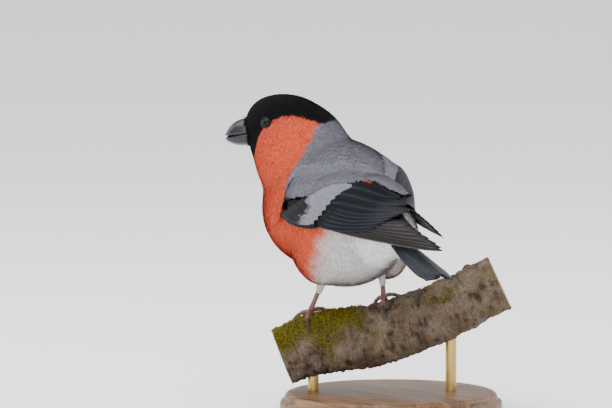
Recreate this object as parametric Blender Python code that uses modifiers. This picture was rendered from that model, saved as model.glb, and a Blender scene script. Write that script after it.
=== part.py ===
"""Male bullfinch on a cut length of branch, held by a display stand.

Life size, in the pose of the photograph: body pitched up, head turned to the
bird's left, tail swung a little to the left, each foot gripping the branch.
The bird faces -X, its left side is -Y, and +Z is up.
"""
import itertools
import math

import bmesh
import bpy
import numpy as np
from mathutils import Vector

MM = 0.001
GAP = 0.3                      # between nodes that touch, mm
BILL_SEAT, THIGH_SEAT = 0.75, 1.3   # from the smooth body to pieces seated on its facets, mm
WELDS = (0.002, 0.02, 0.0003)   # distances tried when near points are made one after a union, mm
BODY_CENTRE = (-20.3, -13.0, 88.5)   # middle of the body above the stand, mm

# Sizes below are in mm from the middle of the body, angles in degrees.
# Body forms: centre; half length, half width, half height; yaw to the left, pitch up.
BODY_FORMS = {
    "torso": ((0, 0, 1.5), (37, 25.5, 28), 0, 38),
    "mantle": ((12, 0, 9.5), (27, 23.5, 17.5), 0, 38),
    "breast": ((-14, 0, 1), (25.5, 25.5, 26.5), 0, 52),
    "belly": ((4, 0, -10), (21.5, 24, 22.5), 0, 14),
    "flank_left": ((3, -14.5, -16.5), (14, 8, 14), 0, 20),
    "flank_right": ((10, 19.2, -16.5), (13.5, 5.8, 14), 0, 10),
    "vent": ((25, 0, -9.5), (18, 14, 11), 0, 0),
    "rump": ((29, 0, -2), (20, 13, 10), 0, 24),
    "neck": ((-25.8, -2.3, 22.5), (20.5, 19.5, 19.8), 15, 60),
    "nape": ((-18.5, -1, 31), (18.5, 15, 14), 15, 42),
    "skull": ((-34, -3.5, 37.2), (16.6, 13.4, 13.4), 48, 0),
    "chin": ((-38.8, -8.9, 28.0), (7.0, 8, 7.5), 48, -35),
    "brow": ((-38.5, -8.5, 38.2), (9.6, 9.5, 9.8), 48, -25),
}
FORM_BLEND = 2.2               # how softly one form runs into the next
SPINE = [(36, 0, -8), (22, 0, -6), (6, 0, -1), (-11, 0, 10), (-24, -2, 24), (-34, -4, 36.5)]
NECK_BASE, NECK_TOP = 0.655, 0.865   # where the neck starts and ends along the spine
BODY_SIDES = 36

HEAD_CENTRE = (-34.0, -3.5, 37.2)
HEAD_YAW = 48.0
BILL_LENGTH, BILL_WIDTH = 9.4, 9.6
BILL_TOP, BILL_BOTTOM = 6.2, 5.0     # heights of the two halves at the base
BILL_START, BILL_DROP = 18.2, 4.0    # ahead of the head's centre, and below it
BILL_PITCH, GAPE = 9.0, 5.0
EYE_RADIUS = 2.9
EYE_AHEAD, EYE_UP, EYE_SINK = 8.7, 2.1, 1.5
LID_RADIUS = 0.55

# Wrist and tip of each folded wing, given as on the left side, how far its middle stands out
# behind the body, and how much of its upper edge is hidden; the right wing lies over the left.
WING_ENDS = {
    "left": ((-8.5, -26.0, 4.1), (78.0, -6.5, -10.7), 0.6, 0.6),
    "right": ((-12.0, -26.0, 5.6), (73.5, -0.3, -5.8), 2.1, 3.2),
}
WING_LEAN = 42.0               # how far the wing's outer face turns upward
WING_THICK, WING_CLEARANCE = 1.5, 0.5
TIER_STEP = 0.25               # between neighbouring feathers of a tier
PLAIN_WING = "right"           # its feathers don't fuse into one closed body
WING_OUTLINE_HIGH = 24.0       # widest reach of the wing toward the back
# Folded wing: distance from the wrist, lower edge, upper edge.
WING_OUTLINE = [
    (0, -1.2, 1.5), (5, -5.2, 3.0), (14, -6.6, 4.6), (24, -5.6, 7.2), (31, -4.2, 11.8),
    (37, -3.0, 17.6), (43, -1.8, 20.4), (52, -0.9, 18.6), (61, -0.4, 12.4),
    (72, 0.0, 6.8), (84, 0.2, 2.2),
]
TAIL_ROOT, TAIL_TIP = (35.0, -0.3, -6.3), (92.0, -19.0, -20.7)

LEG_SIDES = {
    "left": {"knee": (4.5, -12.2, -22.0), "ankle": (0.6, -12.5, -33.8), "foot": (-5.5, -12.8, -44.8)},
    "right": {"knee": (12.0, 12.0, -17.0), "ankle": (14.9, 12.4, -31.0), "foot": (15.9, 12.8, -39.0)},
}
TARSUS_RADIUS, TOE_RADIUS = 1.05, 1.0
ANKLE_RADIUS = 1.55            # of the knob where the toes meet
THIGH_RADII = (1.8, 2.3, 3.2)  # from the ankle up to the knee
TOE_REST = 0.12                # toes and claws lie this much over the gap from the bark
CLAW_ROOT, CLAW_TIP, CLAW_ARCH = 0.7, 0.1, 0.9
# Toe: side shift at its end along the branch, length, toward the bird's front or not.
TOES = [(-6.0, 10.0, 1), (0.5, 13.0, 1), (6.5, 10.0, 1), (-1.5, 7.5, -1)]
CLAW_LENGTHS = (5.0, 5.5, 5.0, 7.0)

BRANCH_YAW = 50.0              # plan direction of the branch
BRANCH_SHIFT = -2.5            # of its middle line, away from the photographer
# Middle line of the branch: distance along the plan direction, height, radius.
BRANCH_LINE = [(-26, -65.2, 12.6), (-13.3, -60.3, 13.9), (3, -57.6, 14.2), (20, -54.6, 14.1),
               (45, -44.6, 13.4), (72, -32.0, 12.6)]
BRANCH_STATIONS, BRANCH_SIDES = 26, 22
BRANCH_UNEVEN = ((0.018, 3, 0.09), (0.012, 5, -0.17))   # depth, waves around, turn along
# Twig stub: distance along the branch, turn from the top, height, radius.
STUB = ((58, 0.9, -5, 4.2), (60, 0.9, 0, 3.4), (63, 0.92, 4.5, 2.6))

STAND_THICK, STAND_RADIUS = 8.0, 50.0
ROD_RADIUS = 2.5
ROD_PLACES = {"low": -12.0, "high": 50.0}   # along the branch
ROD_IN_BRANCH, ROD_IN_BASE = 8.0, 4.5
STAND_EDGE = 1.2               # width of the base's bevelled edge

COLOURS = {                    # colour, roughness, metallic
    "cap": ((0.008, 0.008, 0.012), 0.45, 0.0),
    "grey": ((0.19, 0.18, 0.21), 0.75, 0.0),
    "breast": ((0.62, 0.15, 0.09), 0.8, 0.0),
    "wing": ((0.02, 0.022, 0.032), 0.4, 0.0),
    "tail": ((0.018, 0.018, 0.026), 0.35, 0.0),
    "bill": ((0.06, 0.055, 0.07), 0.35, 0.0),
    "eye": ((0.006, 0.004, 0.004), 0.05, 0.0),
    "leg": ((0.2, 0.09, 0.08), 0.5, 0.0),
    "claw": ((0.03, 0.022, 0.02), 0.35, 0.0),
    "bark": ((0.12, 0.09, 0.05), 0.9, 0.0),
    "base": ((0.16, 0.09, 0.05), 0.4, 0.0),
    "rod": ((0.5, 0.45, 0.36), 0.35, 1.0),
}


def unit(vector):
    """The vector at length one."""
    vector = np.asarray(vector, float)
    return vector / np.linalg.norm(vector)


def form_axes(yaw, pitch):
    """Forward, left and up directions of a form."""
    yaw, pitch = math.radians(yaw), math.radians(pitch)
    flat = np.array([-math.cos(yaw), -math.sin(yaw), 0.0])
    forward = flat * math.cos(pitch) + np.array([0, 0, math.sin(pitch)])
    left = np.array([-flat[1], flat[0], 0.0])
    up = np.cross(left, forward)
    return forward, left, up if up[2] > 0 else -up


def depth(points):
    """Distance outside the blended body forms, negative inside."""
    total = 0
    for centre, size, yaw, pitch in BODY_FORMS.values():
        local = (np.asarray(points, float) - centre) @ np.stack(form_axes(yaw, pitch)).T
        size = np.array(size, float)
        scaled = np.linalg.norm(local / size, axis=-1)
        slope = np.linalg.norm(local / size ** 2, axis=-1) + 1e-9
        total = total + np.exp(-scaled * (scaled - 1) / slope / FORM_BLEND)
    return -FORM_BLEND * np.log(total)


def surface_along(starts, directions, reach, offset=0.0):
    """Points where rays from inside the body meet its surface, moved out by an offset."""
    near, far = np.zeros(len(directions)), np.full(len(directions), float(reach))
    for _ in range(28):
        middle = (near + far) / 2
        inside = depth(starts + directions * middle[:, None]) < offset
        near, far = np.where(inside, middle, near), np.where(inside, far, middle)
    return starts + directions * near[:, None]


def smooth_line(points, fraction):
    """Place and direction on a smooth line through the points (Catmull-Rom)."""
    points = np.array(points, float)
    last = len(points) - 1
    place = min(max(fraction, 0.0), 1.0) * last
    index = min(int(place), last - 1)
    part = place - index
    before, start = points[max(index - 1, 0)], points[index]
    end, after = points[index + 1], points[min(index + 2, last)]
    square = 2 * before - 5 * start + 4 * end - after
    cube = 3 * start - before - 3 * end + after
    position = start + 0.5 * ((end - before) * part + square * part ** 2 + cube * part ** 3)
    direction = 0.5 * ((end - before) + 2 * square * part + 3 * cube * part ** 2)
    return position, direction


def ring_frame(direction):
    """Two directions across a line: up and left."""
    direction = unit(direction)
    left = unit(np.array([0, -1.0, 0]) + direction * direction[1])
    return np.cross(left, direction), left


def body_ring(position, direction, tilt=0.0):
    """One ring of body surface points around the spine."""
    direction = unit(direction)
    up, left = ring_frame(direction)
    turns = np.arange(BODY_SIDES) * 2 * math.pi / BODY_SIDES
    across = np.cos(turns)[:, None] * up + np.sin(turns)[:, None] * left
    rays = across * math.cos(tilt) + direction * math.sin(tilt)
    return surface_along(position, rays, 60)


def collection_named(name):
    """A collection linked to the scene."""
    collection = bpy.data.collections.new(name)
    bpy.context.scene.collection.children.link(collection)
    return collection


def material(name):
    """The plain material for a colour name."""
    found = bpy.data.materials.get(name)
    if found:
        return found
    colour, roughness, metallic = COLOURS[name]
    made = bpy.data.materials.new(name)
    made.use_nodes = True
    shader = made.node_tree.nodes["Principled BSDF"]
    shader.inputs["Base Color"].default_value = (*colour, 1)
    shader.inputs["Roughness"].default_value = roughness
    shader.inputs["Metallic"].default_value = metallic
    made.diffuse_color = (*colour, 1)
    return made


def add_object(name, points, faces, look):
    """A mesh object from points in body millimetres."""
    mesh = bpy.data.meshes.new(name)
    mesh.from_pydata((np.asarray(points, float) * MM).tolist(), [], faces)
    mesh.shade_smooth()
    made = bpy.data.objects.new(name, mesh)
    made.parent = bird_place
    parts.objects.link(made)
    mesh.materials.append(material(look))
    turn_outward(mesh)
    return made


def turn_outward(mesh):
    """Make every face look outward."""
    work = bmesh.new()
    work.from_mesh(mesh)
    bmesh.ops.recalc_face_normals(work, faces=work.faces)
    if work.calc_volume(signed=True) < 0:
        bmesh.ops.reverse_faces(work, faces=work.faces)
    work.to_mesh(mesh)
    work.free()


def loft(rings, start=None, end=None):
    """Points and faces of rings joined in order; a start or end point closes it like a cone."""
    rings = [np.asarray(ring, float) for ring in rings]
    sides = len(rings[0])
    points = list(np.concatenate(rings))
    faces = []
    for row in range(len(rings) - 1):
        for side in range(sides):
            after = (side + 1) % sides
            low, high = row * sides, (row + 1) * sides
            faces.append((low + side, low + after, high + after, high + side))
    for tip, first in ((start, 0), (end, (len(rings) - 1) * sides)):
        if tip is None:
            faces.append(tuple(range(first, first + sides)))
        else:
            points.append(np.asarray(tip, float))
            for side in range(sides):
                faces.append((first + side, first + (side + 1) % sides, len(points) - 1))
    return points, faces


def tube(line, radii, sides=8):
    """Rings of a round tapering tube along a list of places."""
    line = [np.asarray(place, float) for place in line]
    rings = []
    helper = None
    for index, place in enumerate(line):
        direction = unit(line[min(index + 1, len(line) - 1)] - line[max(index - 1, 0)])
        if helper is None:
            helper = unit(np.cross(direction, (0.31, 0.22, 0.93)))
        across = unit(helper - direction * (helper @ direction))
        helper = across
        other = np.cross(direction, across)
        turns = np.arange(sides) * 2 * math.pi / sides
        ring = np.cos(turns)[:, None] * across + np.sin(turns)[:, None] * other
        rings.append(place + ring * radii[index])
    return rings


def largest_surface(mesh, weld):
    """Weld near points, keep only the largest closed surface, and say whether it is closed."""
    work = bmesh.new()
    work.from_mesh(mesh)
    bmesh.ops.triangulate(work, faces=work.faces)
    if weld:
        bmesh.ops.remove_doubles(work, verts=work.verts, dist=weld * MM)
        bmesh.ops.dissolve_degenerate(work, edges=work.edges, dist=weld * MM)
        bmesh.ops.triangulate(work, faces=work.faces)
    unseen, islands = set(work.faces), []
    while unseen:
        island, queue = set(), [unseen.pop()]
        while queue:
            face = queue.pop()
            island.add(face)
            for edge in face.edges:
                for other in edge.link_faces:
                    if other in unseen:
                        unseen.discard(other)
                        queue.append(other)
        islands.append(island)
    islands.sort(key=len)
    for island in islands[:-1]:
        bmesh.ops.delete(work, geom=list(island), context="FACES")
    closed = (all(edge.is_manifold for edge in work.edges)
              and all(vert.is_manifold for vert in work.verts))
    work.to_mesh(mesh)
    work.free()
    return closed


def apply_boolean(target, pieces, operation):
    """Join pieces to the target, or cut them from it, and remove them."""
    group = bpy.data.collections.new("joining")
    for piece in pieces:
        for old in piece.users_collection:
            old.objects.unlink(piece)
        group.objects.link(piece)
    step = target.modifiers.new("join", "BOOLEAN")
    step.operation = operation
    step.operand_type = "COLLECTION"
    step.collection = group
    for weld, solver in itertools.product(WELDS, ("EXACT", "MANIFOLD")):
        step.solver = solver
        bpy.context.view_layer.update()
        graph = bpy.context.evaluated_depsgraph_get()
        joined = bpy.data.meshes.new_from_object(target.evaluated_get(graph))
        if largest_surface(joined, weld):
            break
    target.modifiers.clear()
    target.data = joined
    for piece in pieces:
        bpy.data.objects.remove(piece)
    bpy.data.collections.remove(group)


def spine_rings(start, end, count):
    """Body rings between two places along the spine, square to it."""
    rings = []
    for fraction in np.linspace(start, end, count):
        rings.append(body_ring(*smooth_line(SPINE, fraction)))
    return rings


def pole_rings(at_end, count):
    """Rings that close the body over one end of the spine, from the pole to its edge."""
    position, direction = smooth_line(SPINE, 1.0 if at_end else 0.0)
    sign = 1 if at_end else -1
    rings = []
    for step in range(count):
        tilt = math.pi / 2 * (1 - (step + 1) / (count + 1)) * sign
        rings.append(body_ring(position, direction, tilt))
    pole = surface_along(position, unit(direction)[None] * sign, 60)[0]
    return rings, pole


def parting_rings(fraction):
    """The two flat rings either side of a cut, one gap apart."""
    position, direction = smooth_line(SPINE, fraction)
    shift = unit(direction) * GAP / 2
    return body_ring(position - shift, direction), body_ring(position + shift, direction)


def build_body():
    """Torso, neck and head: one shape parted by two thin cuts."""
    torso_end, neck_start = parting_rings(NECK_BASE)
    neck_end, head_start = parting_rings(NECK_TOP)
    step = 0.035
    closing, pole = pole_rings(False, 7)
    rings = closing + spine_rings(0.0, NECK_BASE - step, 14) + [torso_end]
    torso = add_object("torso", *loft(rings, start=pole), "grey")
    middle = spine_rings(NECK_BASE + step, NECK_TOP - step, 4)
    add_object("neck", *loft([neck_start] + middle + [neck_end]), "breast")
    closing, pole = pole_rings(True, 9)
    rings = [head_start] + spine_rings(NECK_TOP + step, 1.0, 3) + closing[::-1]
    head = add_object("head", *loft(rings, end=pole), "cap")
    return torso, head


def head_place(ahead, left, up):
    """A place given in the turned head's own directions."""
    forward, side, above = form_axes(HEAD_YAW, 0)
    return np.array(HEAD_CENTRE) + forward * ahead + side * left + above * up


def bill_half(name, height, sign):
    """One half of the bill: a short swollen cone with a flat inner face, seated on the head."""
    pitch = -BILL_PITCH + sign * GAPE / 2
    forward, side, above = form_axes(HEAD_YAW, pitch)
    corner = head_place(BILL_START, 0, -BILL_DROP) + above * sign * GAP
    rings = []
    for part in (0.0, 0.2, 0.4, 0.58, 0.74, 0.87, 0.96):
        swell = (1 - part ** 1.7) ** 0.62
        hook = -1.2 * part ** 3 if sign > 0 else 0.0
        ring = []
        for turn in np.linspace(0, math.pi, 9):
            across = math.cos(turn) * BILL_WIDTH / 2 * swell ** 1.1
            rise = math.sin(turn) ** 0.8 * height * swell
            ring.append(corner + forward * BILL_LENGTH * part + side * across
                        + above * (sign * rise + hook * (0.3 + 0.7 * math.sin(turn))))
        rings.append(np.array(ring))
    centre, seat = seat_rings(rings[0] + forward * 8, -forward, BILL_SEAT)
    return add_object(name, *loft(seat + rings[1:], start=centre), "bill")


def surface_hold(ring, direction, clearance):
    """The ring moved along a direction until it lies just clear of the body."""
    held = []
    for point in ring:
        trail = point + np.outer(np.linspace(0, 22, 441), direction)
        inside = depth(trail) < clearance
        stop = int(np.argmax(inside)) if inside.any() else len(trail) - 1
        held.append(trail[max(stop - 1, 0)])
    return np.array(held)


def seat_rings(ring, direction, clearance):
    """A face that follows the body: its middle point and three rings out to the given one."""
    middle = ring.mean(axis=0)
    rings = [surface_hold(middle + (ring - middle) * share, direction, clearance) for share in (0.35, 0.7, 1.0)]
    return surface_hold(middle[None], direction, clearance)[0], rings


def build_head_details(head):
    """Bill halves, eyes in their sockets and the raised lids."""
    bill_half("bill_upper", BILL_TOP, 1)
    bill_half("bill_lower", BILL_BOTTOM, -1)
    lids, sockets = [], []
    for name, sign in (("left", 1), ("right", -1)):
        start = head_place(EYE_AHEAD, 0, EYE_UP)
        side = form_axes(HEAD_YAW, 0)[1] * sign
        surface = surface_along(start, side[None], 30)[0]
        probe = np.eye(3) * 0.2
        normal = unit(depth(surface + probe) - depth(surface - probe))
        centre = surface - normal * EYE_SINK
        turn = Vector(normal).to_track_quat("Z", "Y").to_euler()
        bpy.ops.mesh.primitive_uv_sphere_add(
            segments=20, ring_count=12, radius=EYE_RADIUS * MM,
            location=centre * MM, rotation=turn)
        adopt(f"eye_{name}", "eye")
        bpy.ops.mesh.primitive_uv_sphere_add(
            segments=20, ring_count=12, radius=(EYE_RADIUS + GAP) * MM,
            location=centre * MM, rotation=turn)
        sockets.append(adopt(f"socket_{name}", "eye"))
        opening = math.sqrt((EYE_RADIUS + GAP) ** 2 - EYE_SINK ** 2)
        bpy.ops.mesh.primitive_torus_add(
            major_segments=20, minor_segments=8, major_radius=opening * MM,
            minor_radius=LID_RADIUS * MM, location=(surface - normal * 0.12) * MM, rotation=turn)
        lids.append(adopt(f"lid_{name}", "cap"))
    apply_boolean(head, lids, "UNION")
    apply_boolean(head, sockets, "DIFFERENCE")


def adopt(name, look):
    """Name the primitive just added and put it with the parts."""
    made = bpy.context.object
    made.name = name
    made.data.name = name
    for old in made.users_collection:
        old.objects.unlink(made)
    parts.objects.link(made)
    made.parent = bird_place
    made.data.materials.append(material(look))
    made.data.shade_smooth()
    return made


class Wing:
    """A folded wing as a curved sheet: places on it by distance along, across and outward."""

    def __init__(self, wrist, tip, stand_out, hidden):
        self.hidden = hidden
        self.stand_out = stand_out
        lean = math.radians(WING_LEAN)
        outward = np.array([0, -math.cos(lean), math.sin(lean)])
        self.wrist = np.array(wrist)
        self.along = unit(np.array(tip) - wrist)
        self.outward = unit(outward - self.along * (outward @ self.along))
        self.across = np.cross(self.outward, self.along)

    def height(self, along, across):
        """How far the inner face stands out, clear of the body."""
        foot = self.wrist + self.along * along + self.across * across
        levels = np.linspace(18, -24, 43)
        inside = depth(foot + np.outer(levels, self.outward)) < WING_CLEARANCE
        on_body = -24.0
        if inside.any():
            on_body = levels[int(np.argmax(inside))]
            above = on_body + 1.0
            for _ in range(12):
                middle = (on_body + above) / 2
                if depth((foot + self.outward * middle)[None])[0] < WING_CLEARANCE:
                    on_body = middle
                else:
                    above = middle
        free = self.stand_out - 0.0011 * (along - 40) ** 2 - (across - 3) ** 2 / 43
        sharp = 1.2
        return sharp * math.log(math.exp(on_body / sharp) + math.exp(free / sharp))

    def point(self, along, across, rise):
        """A place on the wing, raised from its inner face."""
        if across > 0:
            across *= 1 - self.hidden / WING_OUTLINE_HIGH
        level, step = self.height(along, across), 2.5
        slope_a = (self.height(along + step, across) - self.height(along - step, across)) / (2 * step)
        slope_b = (self.height(along, across + step) - self.height(along, across - step)) / (2 * step)
        normal = unit(self.outward - self.along * slope_a - self.across * slope_b)
        flat = self.wrist + self.along * along + self.across * across
        return flat + self.outward * level + normal * rise


def vane_outline(part):
    """Half width of a feather along its length, as a share of the widest."""
    return float(np.interp(part, (0, 0.35, 0.75, 0.93, 1.0), (0.6, 0.95, 1.0, 0.6, 0.16)))


def wing_vane(wing, root, tip, width, foot, level):
    """One feather of the wing: a slab that rises from inside the sheet to its own level."""
    root, tip = np.array(root, float), np.array(tip, float)
    line = tip - root
    across = np.array([-line[1], line[0]]) / np.linalg.norm(line)
    rings = []
    for part in (0.0, 0.35, 0.75, 0.93, 1.0):
        middle = root + line * part
        half = width / 2 * vane_outline(part)
        low, high = middle - across * half, middle + across * half
        rings.append([wing.point(*low, foot), wing.point(*low, level),
                      wing.point(*high, level), wing.point(*high, foot)])
    return loft(rings)


def row_of(start, end, count):
    """Evenly spaced places between two places."""
    return [tuple(place) for place in np.linspace(start, end, count)]


def wing_feathers():
    """The feathers of one folded wing by tiers: root, tip, width, foot and level."""
    tiers = {                  # first tip, last tip, first root, last root, count, width, level
        "primaries": ((88, 1.6), (65, 7.6), (26, -3.0), (31, 0.8), 5, 4.4, 0.1),
        "secondaries": ((51, 1.2), (60, 11.6), (23, -2.6), (28, 4.6), 4, 5.8, 0.6),
        "tertials": ((57.5, 15.0), (48, 18.4), (28, 8.4), (31, 12.4), 2, 6.4, 1.1),
        "greater_coverts": ((13, -4.6), (25, 5.4), (4, -2.6), (11, 1.6), 4, 4.6, 1.12),
    }
    feathers = []
    for first_tip, last_tip, first_root, last_root, count, width, level in tiers.values():
        tips, roots = row_of(first_tip, last_tip, count), row_of(first_root, last_root, count)
        for index in range(count):
            foot = WING_THICK * 0.35 + 0.017 * len(feathers)
            top = WING_THICK + level + TIER_STEP * (index % 2)
            feathers.append((roots[index], tips[index], width, foot, top))
    return feathers


def build_wings():
    """Two folded wings, each a curved sheet carrying its feathers in tiers."""
    for name, ends in WING_ENDS.items():
        mirror = np.array([1, -1 if name == "right" else 1, 1])
        wing = Wing(*ends)
        rows = []
        for along, low, high in WING_OUTLINE:
            places = np.linspace(low, high, 9)
            taper = min(1.0, 0.45 + along / 9)
            outer = [wing.point(along, place, WING_THICK * taper) for place in places]
            inner = [wing.point(along, place, 0.0) for place in places[::-1]]
            rows.append(np.array(outer + inner) * mirror)
        sheet = add_object(f"wing_{name}", *loft(rows), "wing")
        if name == PLAIN_WING:
            continue
        vanes = []
        for number, feather in enumerate(wing_feathers()):
            points, faces = wing_vane(wing, *feather)
            vanes.append(add_object(f"vane_{number}", np.array(points) * mirror, faces, "wing"))
        apply_boolean(sheet, vanes, "UNION")


def build_tail():
    """The folded tail: a short root and twelve long feathers, the middle pair on top."""
    root, tip = np.array(TAIL_ROOT), np.array(TAIL_TIP)
    axis = unit(tip - root)
    side = unit(np.cross((0, 0, 1), axis))
    above = np.cross(axis, side)
    length = np.linalg.norm(tip - root)

    def place(along, across, rise):
        return root + axis * along + side * across + above * (rise - across ** 2 / 60)

    rings = []
    for along, half, thick in ((13.5, 5.4, 4.2), (20, 6.0, 3.2), (30, 6.2, 2.2), (42, 6.0, 1.6)):
        ring = []
        for turn in np.arange(12) * math.pi / 6:
            ring.append(place(along, half * math.cos(turn), thick / 2 * math.sin(turn)))
        rings.append(ring)
    tail = add_object("tail", *loft(rings), "tail")
    vanes = []
    for pair in range(6):
        for sign in (-1, 1):
            spread = sign * (0.9 + pair * 0.62)
            level = 0.95 - pair * 0.34 + 0.05 * sign
            reach = length - (1.5 if pair == 0 else 0.0) - max(pair - 3, 0) * 0.8
            vane = []
            for part in (0.0, 0.4, 0.8, 0.94, 1.0):
                along = 17 + 0.3 * pair + (reach - 17 - 0.3 * pair) * part
                middle = spread * (0.75 + 0.45 * part)
                half = 3.7 * (0.7 + 0.3 * min(part / 0.4, 1)) * (1 if part < 0.9 else 0.72 if part < 1 else 0.2)
                tilt = -0.05 * sign
                vane.append([place(along, middle - half, level + tilt * half),
                             place(along, middle + half, level - tilt * half),
                             place(along, middle + half, level - tilt * half - 0.6),
                             place(along, middle - half, level + tilt * half - 0.6)])
            vanes.append(add_object(f"rectrix_{pair}_{sign}", *loft(vane), "tail"))
    apply_boolean(tail, vanes, "UNION")


def branch_directions():
    """Plan direction of the branch and the level direction across it."""
    yaw = math.radians(BRANCH_YAW)
    return np.array([math.cos(yaw), math.sin(yaw), 0]), np.array([-math.sin(yaw), math.cos(yaw), 0])


def branch_station(distance):
    """Middle, direction, upward direction and radius of the branch at a plan distance."""
    plan, across = branch_directions()
    table = np.array(BRANCH_LINE, float)
    low, high = 0.0, 1.0
    for _ in range(40):
        middle = (low + high) / 2
        if smooth_line(table, middle)[0][0] < distance:
            low = middle
        else:
            high = middle
    place, slope = smooth_line(table, low)
    centre = plan * place[0] + across * BRANCH_SHIFT + np.array([0, 0, place[1]])
    direction = unit(plan * slope[0] + np.array([0, 0, slope[1]]))
    return centre, direction, np.cross(across, direction) * -1, place[2]


def branch_radius(radius, distance, turn):
    """The branch's own uneven roundness."""
    waves = [share * math.sin(around * turn + along * distance) for share, around, along in BRANCH_UNEVEN]
    return radius * (1 + sum(waves))


def on_branch(distance, turn, rise):
    """A place above the bark; the turn goes from the top, away from the photographer."""
    centre, _, up, radius = branch_station(distance)
    across = branch_directions()[1]
    out = up * math.cos(turn) + across * math.sin(turn)
    return centre + out * (branch_radius(radius, distance, turn) + rise)


def build_branch():
    """A cut length of branch with a stub of twig, drilled below for the rods."""
    first, last = BRANCH_LINE[0][0], BRANCH_LINE[-1][0]
    rings = []
    for distance in np.linspace(first, last, BRANCH_STATIONS):
        turns = np.arange(BRANCH_SIDES) * 2 * math.pi / BRANCH_SIDES
        rings.append([on_branch(distance, turn, 0.0) for turn in turns])
    branch = add_object("perch", *loft(rings), "bark")
    stub = [on_branch(distance, turn, rise) for distance, turn, rise, _ in STUB]
    twig = add_object("stub", *loft(tube(stub, [ring[3] for ring in STUB], 10)), "bark")
    apply_boolean(branch, [twig], "UNION")
    return branch


def foot_place(side):
    """Plan distance and turn of a foot's joint on the branch."""
    plan, across = branch_directions()
    foot = np.array(LEG_SIDES[side]["foot"])
    distance = float(foot @ plan)
    for _ in range(8):
        centre, _, up, _ = branch_station(distance)
        out = foot - centre
        distance += float((out - up * (out @ up)) @ plan)
    return distance, math.atan2(out @ across, out @ up)


def build_leg(side):
    """Feathered thigh, tarsus, gripping toes and claws of one leg."""
    leg = {name: np.array(value, float) for name, value in LEG_SIDES[side].items()}
    distance, start_turn = foot_place(side)
    joint = on_branch(distance, start_turn, TOE_RADIUS + GAP + 0.35)
    shin = unit(leg["ankle"] - joint)
    thigh_end = leg["ankle"] + shin * GAP
    middle = thigh_end + (leg["knee"] - thigh_end) * 0.5
    lines = tube((thigh_end, middle, leg["knee"]), THIGH_RADII, 14)
    upward = unit(leg["knee"] - thigh_end)
    centre, seat = seat_rings(lines[1] - upward * 12, upward, THIGH_SEAT)
    hem = tube((thigh_end, thigh_end + shin), (1.6, 1.6), 14)[0]
    add_object(f"thigh_{side}", *loft(seat + [hem * 0.5 + seat[-1] * 0.5, hem], start=centre), "grey")
    top, bottom = leg["ankle"], joint + shin * (ANKLE_RADIUS + GAP)
    parts_of_length = np.linspace(0, 1, 6)
    radii = [TARSUS_RADIUS * (1.25 - 0.9 * part * (1 - part)) for part in parts_of_length]
    line = [top + (bottom - top) * part for part in parts_of_length]
    add_object(f"tarsus_{side}", *loft(tube(line, radii, 10)), "leg")
    bpy.ops.mesh.primitive_uv_sphere_add(segments=12, ring_count=8, radius=ANKLE_RADIUS * MM,
                                         location=joint * MM)
    foot = adopt(f"foot_{side}", "leg")
    toes = []
    for number, (shift, length, sense) in enumerate(TOES):
        _, _, _, radius = branch_station(distance)
        swing = length / (radius + TOE_RADIUS + GAP)
        line, sizes = [], []
        for part in np.linspace(0, 1, 8):
            turn = start_turn + sense * swing * part
            rise = TOE_RADIUS + GAP + TOE_REST + 0.25 * (1 - part)
            line.append(on_branch(distance + shift * part ** 0.8, turn, rise))
            sizes.append(TOE_RADIUS * (1.0 - 0.25 * part + 0.07 * math.cos(part * 6 * math.pi)))
        toes.append(add_object(f"toe_{number}", *loft(tube(line, sizes, 8)), "leg"))
        heading = unit(line[-1] - line[-2])
        claw, claw_sizes = [], []
        for part in np.linspace(0, 1, 6):
            turn = start_turn + sense * (swing + (GAP + CLAW_LENGTHS[number] * part) / radius)
            arch = CLAW_ARCH * math.sin(math.pi * min(part * 1.15, 1)) - 0.55 * part
            rise = TOE_RADIUS + GAP + TOE_REST + arch
            claw.append(on_branch(distance + shift * (1 + 0.12 * part), turn, rise))
            claw_sizes.append(CLAW_ROOT * (1 - part) ** 0.8 + CLAW_TIP)
        claw[0] = line[-1] + heading * (GAP + 0.05)
        claw[1] = claw[0] + heading * CLAW_LENGTHS[number] * 0.18
        add_object(f"claw_{side}_{number}", *loft(tube(claw, claw_sizes, 7)), "claw")
    apply_boolean(foot, toes, "UNION")


def cutter(name, radius, depth_mm, place):
    """A hidden cylinder that drills a hole."""
    bpy.ops.mesh.primitive_cylinder_add(vertices=24, radius=radius * MM, depth=depth_mm * MM,
                                        location=Vector(place) * MM)
    made = bpy.context.object
    made.name = name
    made.parent = bird_place
    for old in made.users_collection:
        old.objects.unlink(made)
    cutters.objects.link(made)
    made.hide_render = True
    made.display_type = "WIRE"
    return made


def drill(target, hole):
    """Cut the hole from the target."""
    step = target.modifiers.new(hole.name, "BOOLEAN")
    step.operation = "DIFFERENCE"
    step.object = hole
    step.solver = "EXACT"


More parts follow.
